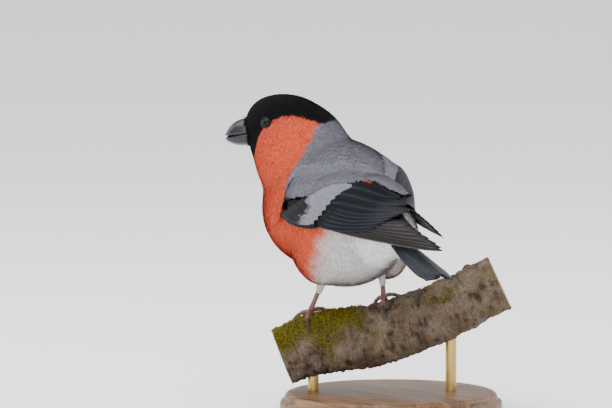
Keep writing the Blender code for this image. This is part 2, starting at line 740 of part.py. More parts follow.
def build_stand(branch):
    """Round wooden base and two rods, seated in drilled holes."""
    floor = -BODY_CENTRE[2]
    middle = (-BODY_CENTRE[0], -BODY_CENTRE[1], floor + STAND_THICK / 2)
    bpy.ops.mesh.primitive_cylinder_add(vertices=48, radius=STAND_RADIUS * MM, depth=STAND_THICK * MM,
                                        location=Vector(middle) * MM)
    base = adopt("stand_base", "base")
    edge = base.modifiers.new("edge", "BEVEL")
    edge.width = STAND_EDGE * MM
    edge.segments = 1
    top = floor + STAND_THICK
    for name, distance in ROD_PLACES.items():
        centre, _, up, radius = branch_station(distance)
        under = centre[2] - radius / up[2]
        foot, head = top - ROD_IN_BASE, under + ROD_IN_BRANCH
        bpy.ops.mesh.primitive_cylinder_add(
            vertices=24, radius=ROD_RADIUS * MM, depth=(head - foot) * MM,
            location=Vector((centre[0], centre[1], (head + foot) / 2)) * MM)
        adopt(f"stand_rod_{name}", "rod")
        bore = ROD_RADIUS + GAP
        low_place, high_place = (centre[0], centre[1], top), (centre[0], centre[1], under)
        low = cutter(f"hole_base_{name}", bore, 2 * (ROD_IN_BASE + GAP), low_place)
        high = cutter(f"hole_perch_{name}", bore, 2 * (ROD_IN_BRANCH + GAP), high_place)
        drill(base, low)
        drill(branch, high)


for old in list(bpy.data.objects):
    bpy.data.objects.remove(old)

parts = collection_named("bullfinch")
cutters = collection_named("cutters")
bird_place = bpy.data.objects.new("body_centre", None)
bird_place.location = Vector(BODY_CENTRE) * MM
parts.objects.link(bird_place)

torso_object, head_object = build_body()
build_head_details(head_object)
build_wings()
build_tail()
branch_object = build_branch()
for leg_side in LEG_SIDES:
    build_leg(leg_side)
build_stand(branch_object)
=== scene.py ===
"""Dressed model of a male bullfinch on its perch and stand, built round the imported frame."""
import math

import bmesh
import bpy
import numpy as np
from mathutils import Matrix, Vector, noise
from mathutils.kdtree import KDTree


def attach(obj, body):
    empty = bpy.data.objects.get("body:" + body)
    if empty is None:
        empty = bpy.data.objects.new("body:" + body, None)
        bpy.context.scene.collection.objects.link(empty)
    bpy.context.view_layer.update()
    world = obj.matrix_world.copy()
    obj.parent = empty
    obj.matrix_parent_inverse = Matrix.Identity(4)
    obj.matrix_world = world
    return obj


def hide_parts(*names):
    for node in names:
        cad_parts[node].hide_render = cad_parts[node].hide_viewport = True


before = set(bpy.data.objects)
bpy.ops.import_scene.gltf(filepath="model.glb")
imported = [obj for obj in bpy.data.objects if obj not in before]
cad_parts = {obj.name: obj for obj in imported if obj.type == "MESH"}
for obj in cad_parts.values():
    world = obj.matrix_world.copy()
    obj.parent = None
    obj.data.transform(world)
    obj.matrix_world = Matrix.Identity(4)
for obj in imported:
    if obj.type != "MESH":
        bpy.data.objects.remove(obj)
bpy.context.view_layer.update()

# Viewpoint: the photograph was taken with a long lens from behind the bird's left shoulder,
# a little above its back. Places on the bird are in millimetres from the middle of its body.
MM = 0.001
BODY_CENTRE = np.array((-20.3, -13.0, 88.5))
VIEW_AZIMUTH, VIEW_ELEVATION = math.radians(50), math.radians(6)
VIEW_DISTANCE = 4000.0
PIXEL = 0.45                   # millimetres of the bird for each pixel of the photograph
PICTURE = (612, 408)
BODY_PIXEL = (340, 212)        # where the middle of the body shows
VIEW_RIGHT = np.array((math.cos(VIEW_AZIMUTH), math.sin(VIEW_AZIMUTH), 0))
VIEW_BACK = np.array((math.sin(VIEW_AZIMUTH) * math.cos(VIEW_ELEVATION),
                      -math.cos(VIEW_AZIMUTH) * math.cos(VIEW_ELEVATION), math.sin(VIEW_ELEVATION)))
VIEW_UP = np.cross(VIEW_BACK, VIEW_RIGHT)


def to_world(places):
    """Body millimetres to metres on the stand."""
    return (np.asarray(places, float) + BODY_CENTRE) * MM


camera_data = bpy.data.cameras.new("camera")
camera_data.sensor_width = 36.0
camera_data.lens = 36.0 * VIEW_DISTANCE / (PICTURE[0] * PIXEL)
camera_data.clip_start = 0.5
camera_data.clip_end = 50.0
camera = bpy.data.objects.new("camera", camera_data)
middle = VIEW_RIGHT * (PICTURE[0] / 2 - BODY_PIXEL[0]) + VIEW_UP * (BODY_PIXEL[1] - PICTURE[1] / 2)
middle = middle * PIXEL
turn = Matrix(np.stack((VIEW_RIGHT, VIEW_UP, VIEW_BACK), axis=1).tolist()).to_4x4()
camera.matrix_world = Matrix.Translation(to_world(middle + VIEW_BACK * VIEW_DISTANCE)) @ turn
bpy.context.scene.collection.objects.link(camera)
bpy.context.scene.camera = camera

# Studio: a wide floor of pale paper, one wide soft light overhead, a large fill beside the
# camera and a weak rim from behind.
FLOOR_REACH = 9.0
PAPER_GLOW = 0.32
WORLD_LIGHT = 1.02
LIGHTS_AIM = Vector((0, 0, 0.07))
LIGHTS = {                     # place from the bird in metres, width, power in watts
    "light_above": ((-0.1, -0.25, 0.95), 0.9, 11.0),
    "light_camera": ((0.75, -0.75, 0.45), 0.8, 5.0),
    "light_front": ((-0.7, -0.45, 0.35), 0.6, 3.0),
    "light_rim": ((0.15, 0.9, 0.6), 0.5, 3.0),
}


def srgb(red, green, blue):
    """A display colour, 0 to 255, as linear light."""
    parts = np.array((red, green, blue), float) / 255
    return np.where(parts <= 0.04045, parts / 12.92, ((parts + 0.055) / 1.055) ** 2.4)


def new_material(name, colour, roughness, metallic=0.0, specular=0.5):
    """A Principled material, its node tree and its shader."""
    made = bpy.data.materials.new(name)
    made.use_nodes = True
    tree = made.node_tree
    shader = tree.nodes["Principled BSDF"]
    shader.inputs["Base Color"].default_value = (*colour, 1)
    shader.inputs["Roughness"].default_value = roughness
    shader.inputs["Metallic"].default_value = metallic
    shader.inputs["Specular IOR Level"].default_value = specular
    return made, tree, shader


def node(tree, kind, **values):
    """A shader node with its input values set by name."""
    made = tree.nodes.new(kind)
    for name, value in values.items():
        made.inputs[name.replace("_", " ")].default_value = value
    return made


def object_place(tree):
    """The socket that gives a place on the piece in metres."""
    return tree.nodes.new("ShaderNodeTexCoord").outputs["Object"]


def texture(tree, kind, place, **values):
    """A texture node read at a place socket."""
    made = node(tree, kind, **values)
    tree.links.new(place, made.inputs["Vector"])
    return made


def add_bump(tree, shader, height, strength, distance):
    """Bump from a height socket."""
    bump = node(tree, "ShaderNodeBump", Strength=strength, Distance=distance)
    tree.links.new(height, bump.inputs["Height"])
    tree.links.new(bump.outputs["Normal"], shader.inputs["Normal"])


def unit(vector):
    """The vector at length one."""
    vector = np.asarray(vector, float)
    return vector / np.linalg.norm(vector)


def studio_floor():
    """A wide level floor that fills the picture behind the stand."""
    plan = unit(VIEW_BACK * (1, 1, 0))
    steps = np.linspace(-FLOOR_REACH, FLOOR_REACH, 5)
    points = [tuple(plan * away + VIEW_RIGHT * side) for away in steps for side in steps]
    faces = [(first, first + 1, first + 6, first + 5) for first in range(19) if first % 5 < 4]
    mesh = bpy.data.meshes.new("studio_floor")
    mesh.from_pydata(points, [], faces)
    floor = bpy.data.objects.new("studio_floor", mesh)
    bpy.context.scene.collection.objects.link(floor)
    paper, tree, shader = new_material("pale_paper", srgb(248, 247, 246), 0.9)
    grain = texture(tree, "ShaderNodeTexNoise", object_place(tree), Scale=900.0, Detail=2.0)
    add_bump(tree, shader, grain.outputs["Fac"], 0.02, 0.0002)
    shader.inputs["Emission Color"].default_value = (1, 1, 1, 1)
    shader.inputs["Emission Strength"].default_value = PAPER_GLOW
    mesh.materials.append(paper)


studio_floor()
for light_name, (place, width, power) in LIGHTS.items():
    light_data = bpy.data.lights.new(light_name, "AREA")
    light_data.shape = "SQUARE"
    light_data.size = width
    light_data.energy = power
    light = bpy.data.objects.new(light_name, light_data)
    light.location = place
    light.rotation_euler = (LIGHTS_AIM - Vector(place)).to_track_quat("-Z", "Y").to_euler()
    bpy.context.scene.collection.objects.link(light)
world = bpy.data.worlds.new("studio")
world.use_nodes = True
sky = world.node_tree.nodes["Background"]
sky.inputs["Color"].default_value = (0.95, 0.97, 1.0, 1)
sky.inputs["Strength"].default_value = WORLD_LIGHT
bpy.context.scene.world = world

# Body: the flesh under the plumage, one skin from forehead to tail root. It is the same
# blend of rounded forms as the solids, drawn in by the depth of the feather coat.
BODY_FORMS = {                 # centre; half length, width, height; yaw to the left, pitch up
    "torso": ((0, 0, 1.5), (37, 25.5, 28), 0, 38),
    "mantle": ((12, 0, 9.5), (27, 23.5, 17.5), 0, 38),
    "breast": ((-14, 0, 1), (25.5, 25.5, 26.5), 0, 52),
    "belly": ((4, 0, -10), (21.5, 24, 22.5), 0, 14),
    "flank_left": ((3, -14.5, -16.5), (14, 8, 14), 0, 20),
    "flank_right": ((10, 19.2, -16.5), (13.5, 5.8, 14), 0, 10),
    "vent": ((25, 0, -9.5), (18, 14, 11), 0, 0),
    "rump": ((29, 0, -2), (20, 13, 10), 0, 24),
    "neck": ((-25.8, -2.3, 22.5), (20.5, 19.5, 19.8), 15, 60),
    "nape": ((-18.5, -1, 31), (18.5, 15, 14), 15, 42),
    "skull": ((-34, -3.5, 37.2), (16.6, 13.4, 13.4), 48, 0),
    "chin": ((-38.8, -8.9, 28.0), (7.0, 8, 7.5), 48, -35),
    "brow": ((-38.5, -8.5, 38.2), (9.6, 9.5, 9.8), 48, -25),
}
FORM_BLEND = 2.2
SPINE = [(36, 0, -8), (22, 0, -6), (6, 0, -1), (-11, 0, 10), (-24, -2, 24), (-34, -4, 36.5)]
HEAD_CENTRE = np.array((-34.0, -3.5, 37.2))
HEAD_YAW = 48.0
SKIN_SIDES, SKIN_RINGS, POLE_RINGS = 120, 130, 34


def form_axes(yaw, pitch):
    """Forward, left and up directions of a form."""
    yaw, pitch = math.radians(yaw), math.radians(pitch)
    flat = np.array([-math.cos(yaw), -math.sin(yaw), 0.0])
    forward = flat * math.cos(pitch) + np.array([0, 0, math.sin(pitch)])
    left = np.array([-flat[1], flat[0], 0.0])
    up = np.cross(left, forward)
    return forward, left, up if up[2] > 0 else -up


def depth(points):
    """Distance outside the blended body forms, negative inside."""
    total = 0
    for centre, size, yaw, pitch in BODY_FORMS.values():
        local = (np.asarray(points, float) - centre) @ np.stack(form_axes(yaw, pitch)).T
        size = np.array(size, float)
        scaled = np.linalg.norm(local / size, axis=-1)
        slope = np.linalg.norm(local / size ** 2, axis=-1) + 1e-9
        total = total + np.exp(-scaled * (scaled - 1) / slope / FORM_BLEND)
    return -FORM_BLEND * np.log(total)


def outward(points, step=0.4):
    """Directions square to the body's surface."""
    slopes = []
    for axis in np.eye(3) * step:
        slopes.append(depth(points + axis) - depth(points - axis))
    slopes = np.stack(slopes, axis=-1)
    return slopes / (np.linalg.norm(slopes, axis=-1, keepdims=True) + 1e-9)


def head_place(ahead, left, up):
    """A place given in the turned head's own directions."""
    forward, side, above = form_axes(HEAD_YAW, 0)
    return HEAD_CENTRE + forward * ahead + side * left + above * up


def in_head(points):
    """Places in the turned head's directions: ahead, left, up."""
    return (points - HEAD_CENTRE) @ np.stack(form_axes(HEAD_YAW, 0)).T


def smooth_line(points, fraction):
    """Place and direction on a smooth line through the points (Catmull-Rom)."""
    points = np.array(points, float)
    last = len(points) - 1
    place = min(max(fraction, 0.0), 1.0) * last
    index = min(int(place), last - 1)
    part = place - index
    before, start = points[max(index - 1, 0)], points[index]
    end, after = points[index + 1], points[min(index + 2, last)]
    square = 2 * before - 5 * start + 4 * end - after
    cube = 3 * start - before - 3 * end + after
    position = start + 0.5 * ((end - before) * part + square * part ** 2 + cube * part ** 3)
    direction = 0.5 * ((end - before) + 2 * square * part + 3 * cube * part ** 2)
    return position, direction


def farthest(inside, near, far, steps):
    """The farthest reach that is still inside, found by halving."""
    for _ in range(steps):
        half = (near + far) / 2
        held = inside(half)
        near, far = np.where(held, half, near), np.where(held, far, half)
    return near


def circle(first, second, sides):
    """Directions round a circle, from the first toward the second."""
    turns = np.arange(sides) * 2 * math.pi / sides
    return np.cos(turns)[:, None] * first + np.sin(turns)[:, None] * second


def body_ring(position, direction, tilt):
    """Body surface points round the spine, at a tilt toward its end."""
    direction = unit(direction)
    left = unit(np.array([0, -1.0, 0]) + direction * direction[1])
    across = circle(np.cross(left, direction), left, SKIN_SIDES)
    rays = across * math.cos(tilt) + direction * math.sin(tilt)
    reach = farthest(lambda half: depth(position + rays * half[:, None]) < 0,
                     np.zeros(SKIN_SIDES), np.full(SKIN_SIDES, 60.0), 24)
    return position + rays * reach[:, None]


def body_grid():
    """Rows of surface points from the tail root to the crown, and the lie along the spine."""
    steps = [(0, -math.pi / 2 * (1 - (step + 0.2) / POLE_RINGS)) for step in range(POLE_RINGS)]
    steps += [(fraction, 0.0) for fraction in np.linspace(0, 1, SKIN_RINGS)]
    steps += [(1, math.pi / 2 * (step + 0.8) / POLE_RINGS) for step in range(POLE_RINGS)]
    rows, lies = [], []
    for fraction, tilt in steps:
        position, direction = smooth_line(SPINE, fraction)
        rows.append(body_ring(position, direction, tilt))
        lies.append(-unit(direction))
    return np.array(rows), np.array(lies)


def finish_piece(mesh, material, tint, replaced):
    """A piece from its mesh: colours, material, body and the nodes it replaces."""
    if tint is not None:
        colours = mesh.color_attributes.new(name="tint", type="FLOAT_COLOR", domain="POINT")
        full = np.concatenate([tint, np.ones((len(tint), 1))], axis=1)
        colours.data.foreach_set("color", full.astype(np.float32).ravel())
    mesh.materials.append(material)
    made = bpy.data.objects.new(mesh.name, mesh)
    bpy.context.scene.collection.objects.link(made)
    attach(made, "root")
    if replaced:
        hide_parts(*replaced)
    return made


def add_mesh(name, points, faces, material, uv=None, tint=None, smooth=True, replaced=()):
    """A piece from arrays: points in body millimetres, faces as equal-sided polygons."""
    faces = np.asarray(faces, np.int32)
    mesh = bpy.data.meshes.new(name)
    mesh.vertices.add(len(points))
    mesh.vertices.foreach_set("co", to_world(points).astype(np.float32).ravel())
    mesh.loops.add(faces.size)
    mesh.loops.foreach_set("vertex_index", faces.ravel())
    mesh.polygons.add(len(faces))
    starts = np.arange(len(faces), dtype=np.int32) * faces.shape[1]
    mesh.polygons.foreach_set("loop_start", starts)
    mesh.update(calc_edges=True)
    if smooth:
        mesh.shade_smooth()
    if uv is not None:
        layer = mesh.uv_layers.new(name="OFBake")
        layer.data.foreach_set("uv", np.asarray(uv, np.float32)[faces.ravel()].ravel())
    mesh.validate()
    return finish_piece(mesh, material, tint, replaced)


def grid_faces(rows, columns, closed=True):
    """Quads of a grid whose rows may close on themselves."""
    last = columns if closed else columns - 1
    row, column = np.meshgrid(np.arange(rows - 1), np.arange(last), indexing="ij")
    after = (column + 1) % columns
    corners = (row * columns + column, row * columns + after, (row + 1) * columns + after,
               (row + 1) * columns + column)
    return np.stack([corner.ravel() for corner in corners], axis=1)


# Plumage markings: black cap down to the eye and round the bill, red breast and cheeks,
# grey nape and back, white rump and vent. One function colours both skin and feathers.
BLACK = srgb(9, 9, 12)
RED = srgb(220, 90, 60)
CHEEK_RED = srgb(203, 80, 58)
GREY = srgb(116, 115, 125)
PALE_BELLY = srgb(204, 200, 197)
WHITE = srgb(236, 236, 236)
# Lower edge of the cap in the head's own directions: ahead of its centre, height.
CAP_EDGE = [(-24, 4.2), (-19.4, 2.6), (-17.2, 2.3), (-12.7, 4.1), (-7.2, 5.3), (-3.6, 5.6), (0.6, 4.9),
            (3.8, 3.9), (6.5, 2.5), (8.3, 1.2), (9.7, -0.6), (11.5, -3.9), (12.9, -8.5), (13.7, -13.0),
            (15.2, -17.0), (20, -19)]
SKIN_SHADE = 0.55              # the skin under the coat is darker than its feathers: painted shade deep in the coat
CAP_REACH = 27.0               # from the head's centre back to the nape
# Front edge of the grey back, left and right of the turned neck: height, place along the body.
BACK_EDGE = [(6, -11.5), (10.8, -10.0), (16.3, -8.4), (24.3, -6.2), (32.9, -6.4), (39.1, -7.4), (46, -9.5)]
BACK_EDGE_RIGHT = [(6, -11.5), (14, -13), (25, -18), (33, -23), (39, -28), (46, -32)]


def smooth_step(low, high, values):
    """Zero below low, one above high, smooth between."""
    part = np.clip((values - low) / (high - low), 0, 1)
    return part * part * (3 - 2 * part)


def wander(points, scale, seed):
    """Slow variation over the body, about -1 to 1."""
    rough = np.zeros(len(points))
    generator = np.random.default_rng(seed)
    for size in (1.0, 0.55, 0.3):
        for _ in range(3):
            heading = unit(generator.normal(size=3)) / (scale * size)
            rough += size * np.sin(points @ heading * 2 * math.pi + generator.uniform(0, 6.3))
    return rough / 3.0


def along_table(table, values):
    """The second column of a table at values of its first."""
    table = np.array(table)
    return np.interp(values, table[:, 0], table[:, 1])


def paint(colour, other, share):
    """A colour with a share of another laid over it."""
    share = np.asarray(share)[..., None]
    return colour * (1 - share) + other * share


def markings(points):
    """Plumage colour at places on the body."""
    rearward, aside, height = points.T
    head = in_head(points)
    from_head = np.linalg.norm(head, axis=1)
    ripple = wander(points, 3.0, 11) * 0.35
    cap = smooth_step(-0.35, 0.45, head[:, 2] - along_table(CAP_EDGE, head[:, 0]) + ripple)
    cap *= smooth_step(CAP_REACH + 0.7, CAP_REACH - 0.5, from_head + ripple)
    right_share = smooth_step(-6, 3, aside)
    edge_place = (along_table(BACK_EDGE, height) * (1 - right_share)
                  + along_table(BACK_EDGE_RIGHT, height) * right_share)
    back = rearward - edge_place + wander(points, 6.0, 12) * 0.6
    # the wing's lower edge parts the grey above it from the red and white below
    over_wing = height - (3.0 - 0.17 * (rearward + 8.5) + 2.4 * np.clip(-8.0 - rearward, 0, 3))
    grey = smooth_step(-1.0, 1.2, back) * smooth_step(-3.0, 0.5, over_wing)
    pale_edge = 17.0 + 0.6 * (height + 8) - 6.0 * smooth_step(0, 16, aside)
    pale = smooth_step(-5.5, 5.5, rearward - pale_edge + wander(points, 8.0, 13) * 2.0)
    rump = rearward - 10.0 * smooth_step(-3.0, 3.0, over_wing) + wander(points, 5.0, 14)
    blush = 0.12 * smooth_step(2, 16, aside) * smooth_step(30, 16, rearward)
    colour = paint(RED, CHEEK_RED, smooth_step(22.0, 14.0, from_head))
    colour = paint(colour, paint(PALE_BELLY, RED, blush), pale * smooth_step(4.0, -3.0, over_wing))
    colour = paint(colour, GREY, grey)
    colour = paint(colour, WHITE, smooth_step(27.0, 31.0, rump))
    return paint(colour, BLACK, cap)


def coat_depth(points):
    """How deep the feathers are: thin on the face, thick on the body."""
    from_face = np.linalg.norm(points - head_place(14, 0, -3), axis=1)
    return 0.45 + 1.25 * smooth_step(8, 38, from_face)


def tint_by(tree, shader, shade, low, high, dark, bright):
    """The piece's own tint, scaled from dark to bright as a shade socket goes from low to high."""
    tint = tree.nodes.new("ShaderNodeVertexColor")
    tint.layer_name = "tint"
    ramp = node(tree, "ShaderNodeMapRange", From_Min=low, From_Max=high, To_Min=dark, To_Max=bright)
    tree.links.new(shade, ramp.inputs["Value"])
    scaled = tree.nodes.new("ShaderNodeVectorMath")
    scaled.operation = "SCALE"
    tree.links.new(tint.outputs["Color"], scaled.inputs[0])
    tree.links.new(ramp.outputs["Result"], scaled.inputs["Scale"])
    tree.links.new(scaled.outputs["Vector"], shader.inputs["Base Color"])


def plumage_material():
    """Feather surface coloured by its own tint, with the fine grain of barbs."""
    made, tree, shader = new_material("plumage", (0.5, 0.5, 0.5), 0.9, specular=0.12)
    grain = texture(tree, "ShaderNodeTexNoise", object_place(tree), Scale=1400.0, Detail=3.0,
                    Roughness=0.6)
    tint_by(tree, shader, grain.outputs["Fac"], 0.3, 0.7, 0.86, 1.12)
    shader.inputs["Sheen Weight"].default_value = 0.04
    shader.inputs["Sheen Roughness"].default_value = 0.5
    add_bump(tree, shader, grain.outputs["Fac"], 0.25, 0.0001)
    return made


skin_rows, skin_lies = body_grid()
row_count = len(skin_rows)
surface_points = skin_rows.reshape(-1, 3)
surface_normals = outward(surface_points)
skin_points = surface_points - surface_normals * coat_depth(surface_points)[:, None]
skin_uv = np.meshgrid(np.linspace(0.01, 0.99, row_count), np.linspace(0.01, 0.99, SKIN_SIDES),
                      indexing="ij")
skin_uv = np.stack(skin_uv, axis=-1).reshape(-1, 2)
skin_faces = grid_faces(row_count, SKIN_SIDES)
plumage_look = plumage_material()
cap_points = [skin_points[:SKIN_SIDES].mean(axis=0), skin_points[-SKIN_SIDES:].mean(axis=0)]
closing = []
for tip, first in ((len(skin_points), 0), (len(skin_points) + 1, len(skin_points) - SKIN_SIDES)):
    for side in range(0, SKIN_SIDES, 2):
        closing.append((first + side, first + side + 1, first + (side + 2) % SKIN_SIDES, tip))
# The skin takes the markings darkened by SKIN_SHADE: painted shade deep in the coat.
add_mesh("skin", np.concatenate([skin_points, cap_points]), np.concatenate([skin_faces, closing]),
         plumage_look, uv=np.concatenate([skin_uv, [(0.005, 0.5), (0.995, 0.5)]]),
         tint=np.concatenate([markings(surface_points), [WHITE], [BLACK]]) * SKIN_SHADE,
         replaced=("head", "neck", "torso", "thigh_left", "thigh_right"))

# Small feathers: the whole body wears short soft feathers, each a stem with barbs that part
# toward the end, lying back from the bill and along the body. Smallest on the face.
BARB_REACH = (0.40, 0.50, 0.46, 0.32)       # half width of the feather at each pair of barbs
BODY_FEATHERS = 56000
PIECE_FEATHERS = 10500
UNWRAP_PATCH = 0.003           # size of one feather on the unwrap of the skin
EYE_AHEAD, EYE_UP, EYE_CLEAR = 8.7, 2.1, 2.6    # no feather grows nearer than that to an eye
TAIL_SIDE = np.array((54.0, -5.0, -11.0))   # the rump feathers close in on the tail
BILL_BASE = head_place(16.5, 0, -3.5)


def rows_unit(vectors):
    """Every row at length one."""
    return vectors / (np.linalg.norm(vectors, axis=-1, keepdims=True) + 1e-9)


def barb_shapes(count, generator):
    """Along and across shares of every barb point of each feather, each a little different."""
    along, across = [], []
    for pair, reach in enumerate(BARB_REACH):
        start = 0.04 + 0.17 * pair
        half = start + 0.21
        for side in (-1, 1):
            flanks = ((half + 0.06, reach * 0.6 - 0.1), (half - 0.05, reach * 0.6 + 0.1))
            (low, low_out), (high, high_out) = flanks[::side]
            along.append((start, low, start + 0.42, high))
            across.append((0, side * low_out, side * reach, side * high_out))
    along.append((0.5, 0.8, 1.0, 0.8))
    across.append((0, -0.11, 0, 0.11))
    along = np.repeat(np.array(along)[None], count, axis=0)
    across = np.repeat(np.array(across)[None], count, axis=0)
    along[:, :, 2] += generator.normal(0, 0.06, along.shape[:2])
    across[:, :, 2] += generator.normal(0, 0.07, across.shape[:2])
    return along.reshape(count, -1), across.reshape(count, -1)


def barb_facing(normals, lie, aside, along, across, generator):
    """Shading directions: every barb turned a little its own way."""
    turned = generator.normal(0, 0.2, (len(along), along.shape[1] // 4)).repeat(4, axis=1)
    return rows_unit(normals + lie * (0.35 * along - 0.05 + 0.4 * turned)[..., None]
                     + aside * (0.9 * across + turned)[..., None])


def barb_shade(along, generator):
    """Light and dark of every feather and barb; darker toward the root, partly grey bases and partly painted
    shade.
    """
    count = len(along)
    shade = (1 + generator.normal(0, 0.1, count))[:, None] * (0.45 + 0.55 * np.clip(along, 0, 1))
    return shade * (1 + generator.normal(0, 0.10, (count, along.shape[1] // 4)).repeat(4, axis=1))


def spread_barbs(roots, lie, aside, along, across):
    """Barb points laid out from the roots, along and beside each feather's lie."""
    return roots[:, None] + lie[:, None] * along[..., None] + aside[:, None] * across[..., None]


def lay_feathers(name, places, facing, colour, shade, unwrap, shares):
    """Pieces made of many feathers, from arrays of their barb points."""
    tint = np.clip(colour[:, None] * shade[..., None], 0, 1)
    along, across = shares
    uv = unwrap[:, None] + np.stack((along - 0.5, across), axis=-1) * UNWRAP_PATCH
    per_feather = places.shape[1]
    barbs = np.arange(0, per_feather, 4)
    corners = np.concatenate([np.stack((barbs, barbs + 1, barbs + 2), 1),
                              np.stack((barbs, barbs + 2, barbs + 3), 1)])
    for number, start in enumerate(range(0, len(places), PIECE_FEATHERS)):
        part = slice(start, min(start + PIECE_FEATHERS, len(places)))
        firsts = np.arange(part.stop - part.start) * per_feather
        faces = (corners[None] + firsts[:, None, None]).reshape(-1, 3)
        piece = add_mesh(f"{name}_{number + 1}", places[part].reshape(-1, 3), faces, plumage_look,
                         uv=uv[part].reshape(-1, 2), tint=tint[part].reshape(-1, 3))
        piece.data.normals_split_custom_set_from_vertices(facing[part].reshape(-1, 3))


def sample_body(count, generator):
    """Places spread over the body, denser where feathers are short, with their lie and unwrap."""
    rows, sides = row_count - 1, SKIN_SIDES
    grid = skin_rows
    beside = np.roll(grid, -1, axis=1)
    width = np.linalg.norm(beside[:-1] - grid[:-1], axis=-1)
    height = np.linalg.norm(grid[1:] - grid[:-1], axis=-1)
    weight = width * height / feather_length(grid[:-1].reshape(-1, 3)).reshape(rows, sides) ** 1.1
    chosen = generator.choice(rows * sides, size=count, p=(weight / weight.sum()).ravel())
    chosen.sort()
    row, side = chosen // sides, chosen % sides
    down, over = generator.random(count), generator.random(count)
    near = grid[row, side] * (1 - over[:, None]) + beside[row, side] * over[:, None]
    far = grid[row + 1, side] * (1 - over[:, None]) + beside[row + 1, side] * over[:, None]
    points = near * (1 - down[:, None]) + far * down[:, None]
    unwrap = np.stack(((row + down) / row_count, (side + over) / sides), axis=1) * 0.98 + 0.01
    return points, skin_lies[row], unwrap


def feather_length(points):
    """Short on the face, longest on the rump and vent."""
    from_face = np.linalg.norm(points - BILL_BASE, axis=-1)
    return 1.5 + 3.4 * smooth_step(6, 44, from_face) + 3.0 * smooth_step(22, 38, points[..., 0])


def feather_lie(points, normals, spine_lie):
    """Direction a feather lies in: away from the bill, then along the body to the tail."""
    from_bill = points - BILL_BASE
    near_bill = smooth_step(36, 14, np.linalg.norm(from_bill, axis=1))[:, None]
    lie = spine_lie * (1 - near_bill) + rows_unit(from_bill) * near_bill
    lie = lie + 0.45 * rows_unit(TAIL_SIDE - points) * (1 - near_bill)
    lie = lie - normals * (lie * normals).sum(axis=1, keepdims=True)
    return rows_unit(lie)


def eye_middle(sign):
    """Place and outward direction of an eye on the head's surface."""
    start = head_place(EYE_AHEAD, 0, EYE_UP)
    side = form_axes(HEAD_YAW, 0)[1] * sign
    surface = start + side * farthest(lambda half: depth(start + side * half) < 0, 0.0, 30.0, 40)
    return surface, outward(surface[None])[0]


def cover_body():
    """All the small feathers of head and body."""
    generator = np.random.default_rng(7)
    roots, spine_lie, unwrap = sample_body(BODY_FEATHERS, generator)
    clear = np.ones(len(roots), bool)
    for sign in (-1, 1):
        clear &= np.linalg.norm(roots - eye_middle(sign)[0], axis=1) > EYE_CLEAR
    roots, spine_lie, unwrap = roots[clear], spine_lie[clear], unwrap[clear]
    count = len(roots)
    normals = outward(roots)
    straight = feather_lie(roots, normals, spine_lie)
    beside = np.cross(normals, straight)
    swing = generator.normal(0, 0.13, count)[:, None]
    lie = straight * np.cos(swing) + beside * np.sin(swing)
    aside = beside * np.cos(swing) - straight * np.sin(swing)
    length = feather_length(roots) * generator.uniform(0.8, 1.2, count)
    width = length * generator.uniform(0.42, 0.56, count)
    along, across = barb_shapes(count, generator)
    places = spread_barbs(roots, lie, aside, along * length[:, None], across * width[:, None])
    lift = (generator.uniform(0.03, 0.42, count) * length / 5)[:, None]
    rise = -coat_depth(roots)[:, None] * 0.9 * np.clip(1 - along, 0, 1) ** 1.4
    rise = rise + lift * along - 0.35 * across ** 2 * width[:, None] / 3
    places = places + normals[:, None] * (rise - depth(places))[..., None]
    facing = barb_facing(normals[:, None], lie[:, None], aside[:, None], along, across, generator)
    colour = markings(roots + lie * length[:, None] * 0.8)
    lay_feathers("plumage", places, facing, colour, barb_shade(along, generator), unwrap,
                 (along, across))


cover_body()

# Eyes: dark brown glossy balls sunk into the head, each in a thin rim of bare lid.
# The iris is so dark that it hardly parts from the pupil.
EYE_RADIUS, EYE_SINK, LID_RADIUS = 2.9, 1.95, 0.3
LID_STEPS, LID_SIDES = 56, 8


def tube_rings(line, radii, sides):
    """Round rings square to a line of points."""
    line = np.asarray(line, float)
    rings, helper = [], None
    for index, place in enumerate(line):
        direction = unit(line[min(index + 1, len(line) - 1)] - line[max(index - 1, 0)])
        if helper is None:
            helper = unit(np.cross(direction, (0.31, 0.22, 0.93)))
        helper = unit(helper - direction * (helper @ direction))
        rings.append(place + circle(helper, np.cross(direction, helper), sides) * radii[index])
    return np.array(rings)


def tube(line, radii, sides):
    """Points and quads of a closed tube along a line."""
    return closed_loft(tube_rings(line, radii, sides))


def closed_loft(rings):
    """Points and quads of a closed shape through rings, its two ends drawn to a point."""
    rings = np.asarray(rings, float)
    count, sides = rings.shape[:2]
    points = rings.reshape(-1, 3)
    faces = list(map(tuple, grid_faces(count, sides)))
    for first, middle in ((0, len(points)), ((count - 1) * sides, len(points) + 1)):
        for side in range(sides):
            faces.append((first + side, first + (side + 1) % sides, middle, middle))
    points = np.concatenate([points, [rings[0].mean(axis=0)], [rings[-1].mean(axis=0)]])
    return points, faces


def add_shape(name, parts, material, replaced=(), tint=None):
    """A piece from closed shapes, given as (points, faces) pairs."""
    points, faces, start = [], [], 0
    for shape_points, shape_faces in parts:
        points.append(shape_points)
        for face in shape_faces:
            faces.append([corner + start for corner in dict.fromkeys(face)])
        start += len(shape_points)
    mesh = bpy.data.meshes.new(name)
    mesh.from_pydata(to_world(np.concatenate(points)).tolist(), [], faces)
    mesh.shade_smooth()
    tidy = bmesh.new()
    tidy.from_mesh(mesh)
    bmesh.ops.recalc_face_normals(tidy, faces=tidy.faces)
    tidy.to_mesh(mesh)
    tidy.free()
    return finish_piece(mesh, material, tint, replaced)


def two_shades(tree, shader, share, dark, light, low=0.0, high=1.0):
    """Base colour from dark to light as a share socket goes from low to high."""
    ramp = tree.nodes.new("ShaderNodeValToRGB")
    for element, place, shade in zip(ramp.color_ramp.elements, (low, high), (dark, light)):
        element.position = place
        element.color = (*shade, 1)
    tree.links.new(share, ramp.inputs["Fac"])
    tree.links.new(ramp.outputs["Color"], shader.inputs["Base Color"])


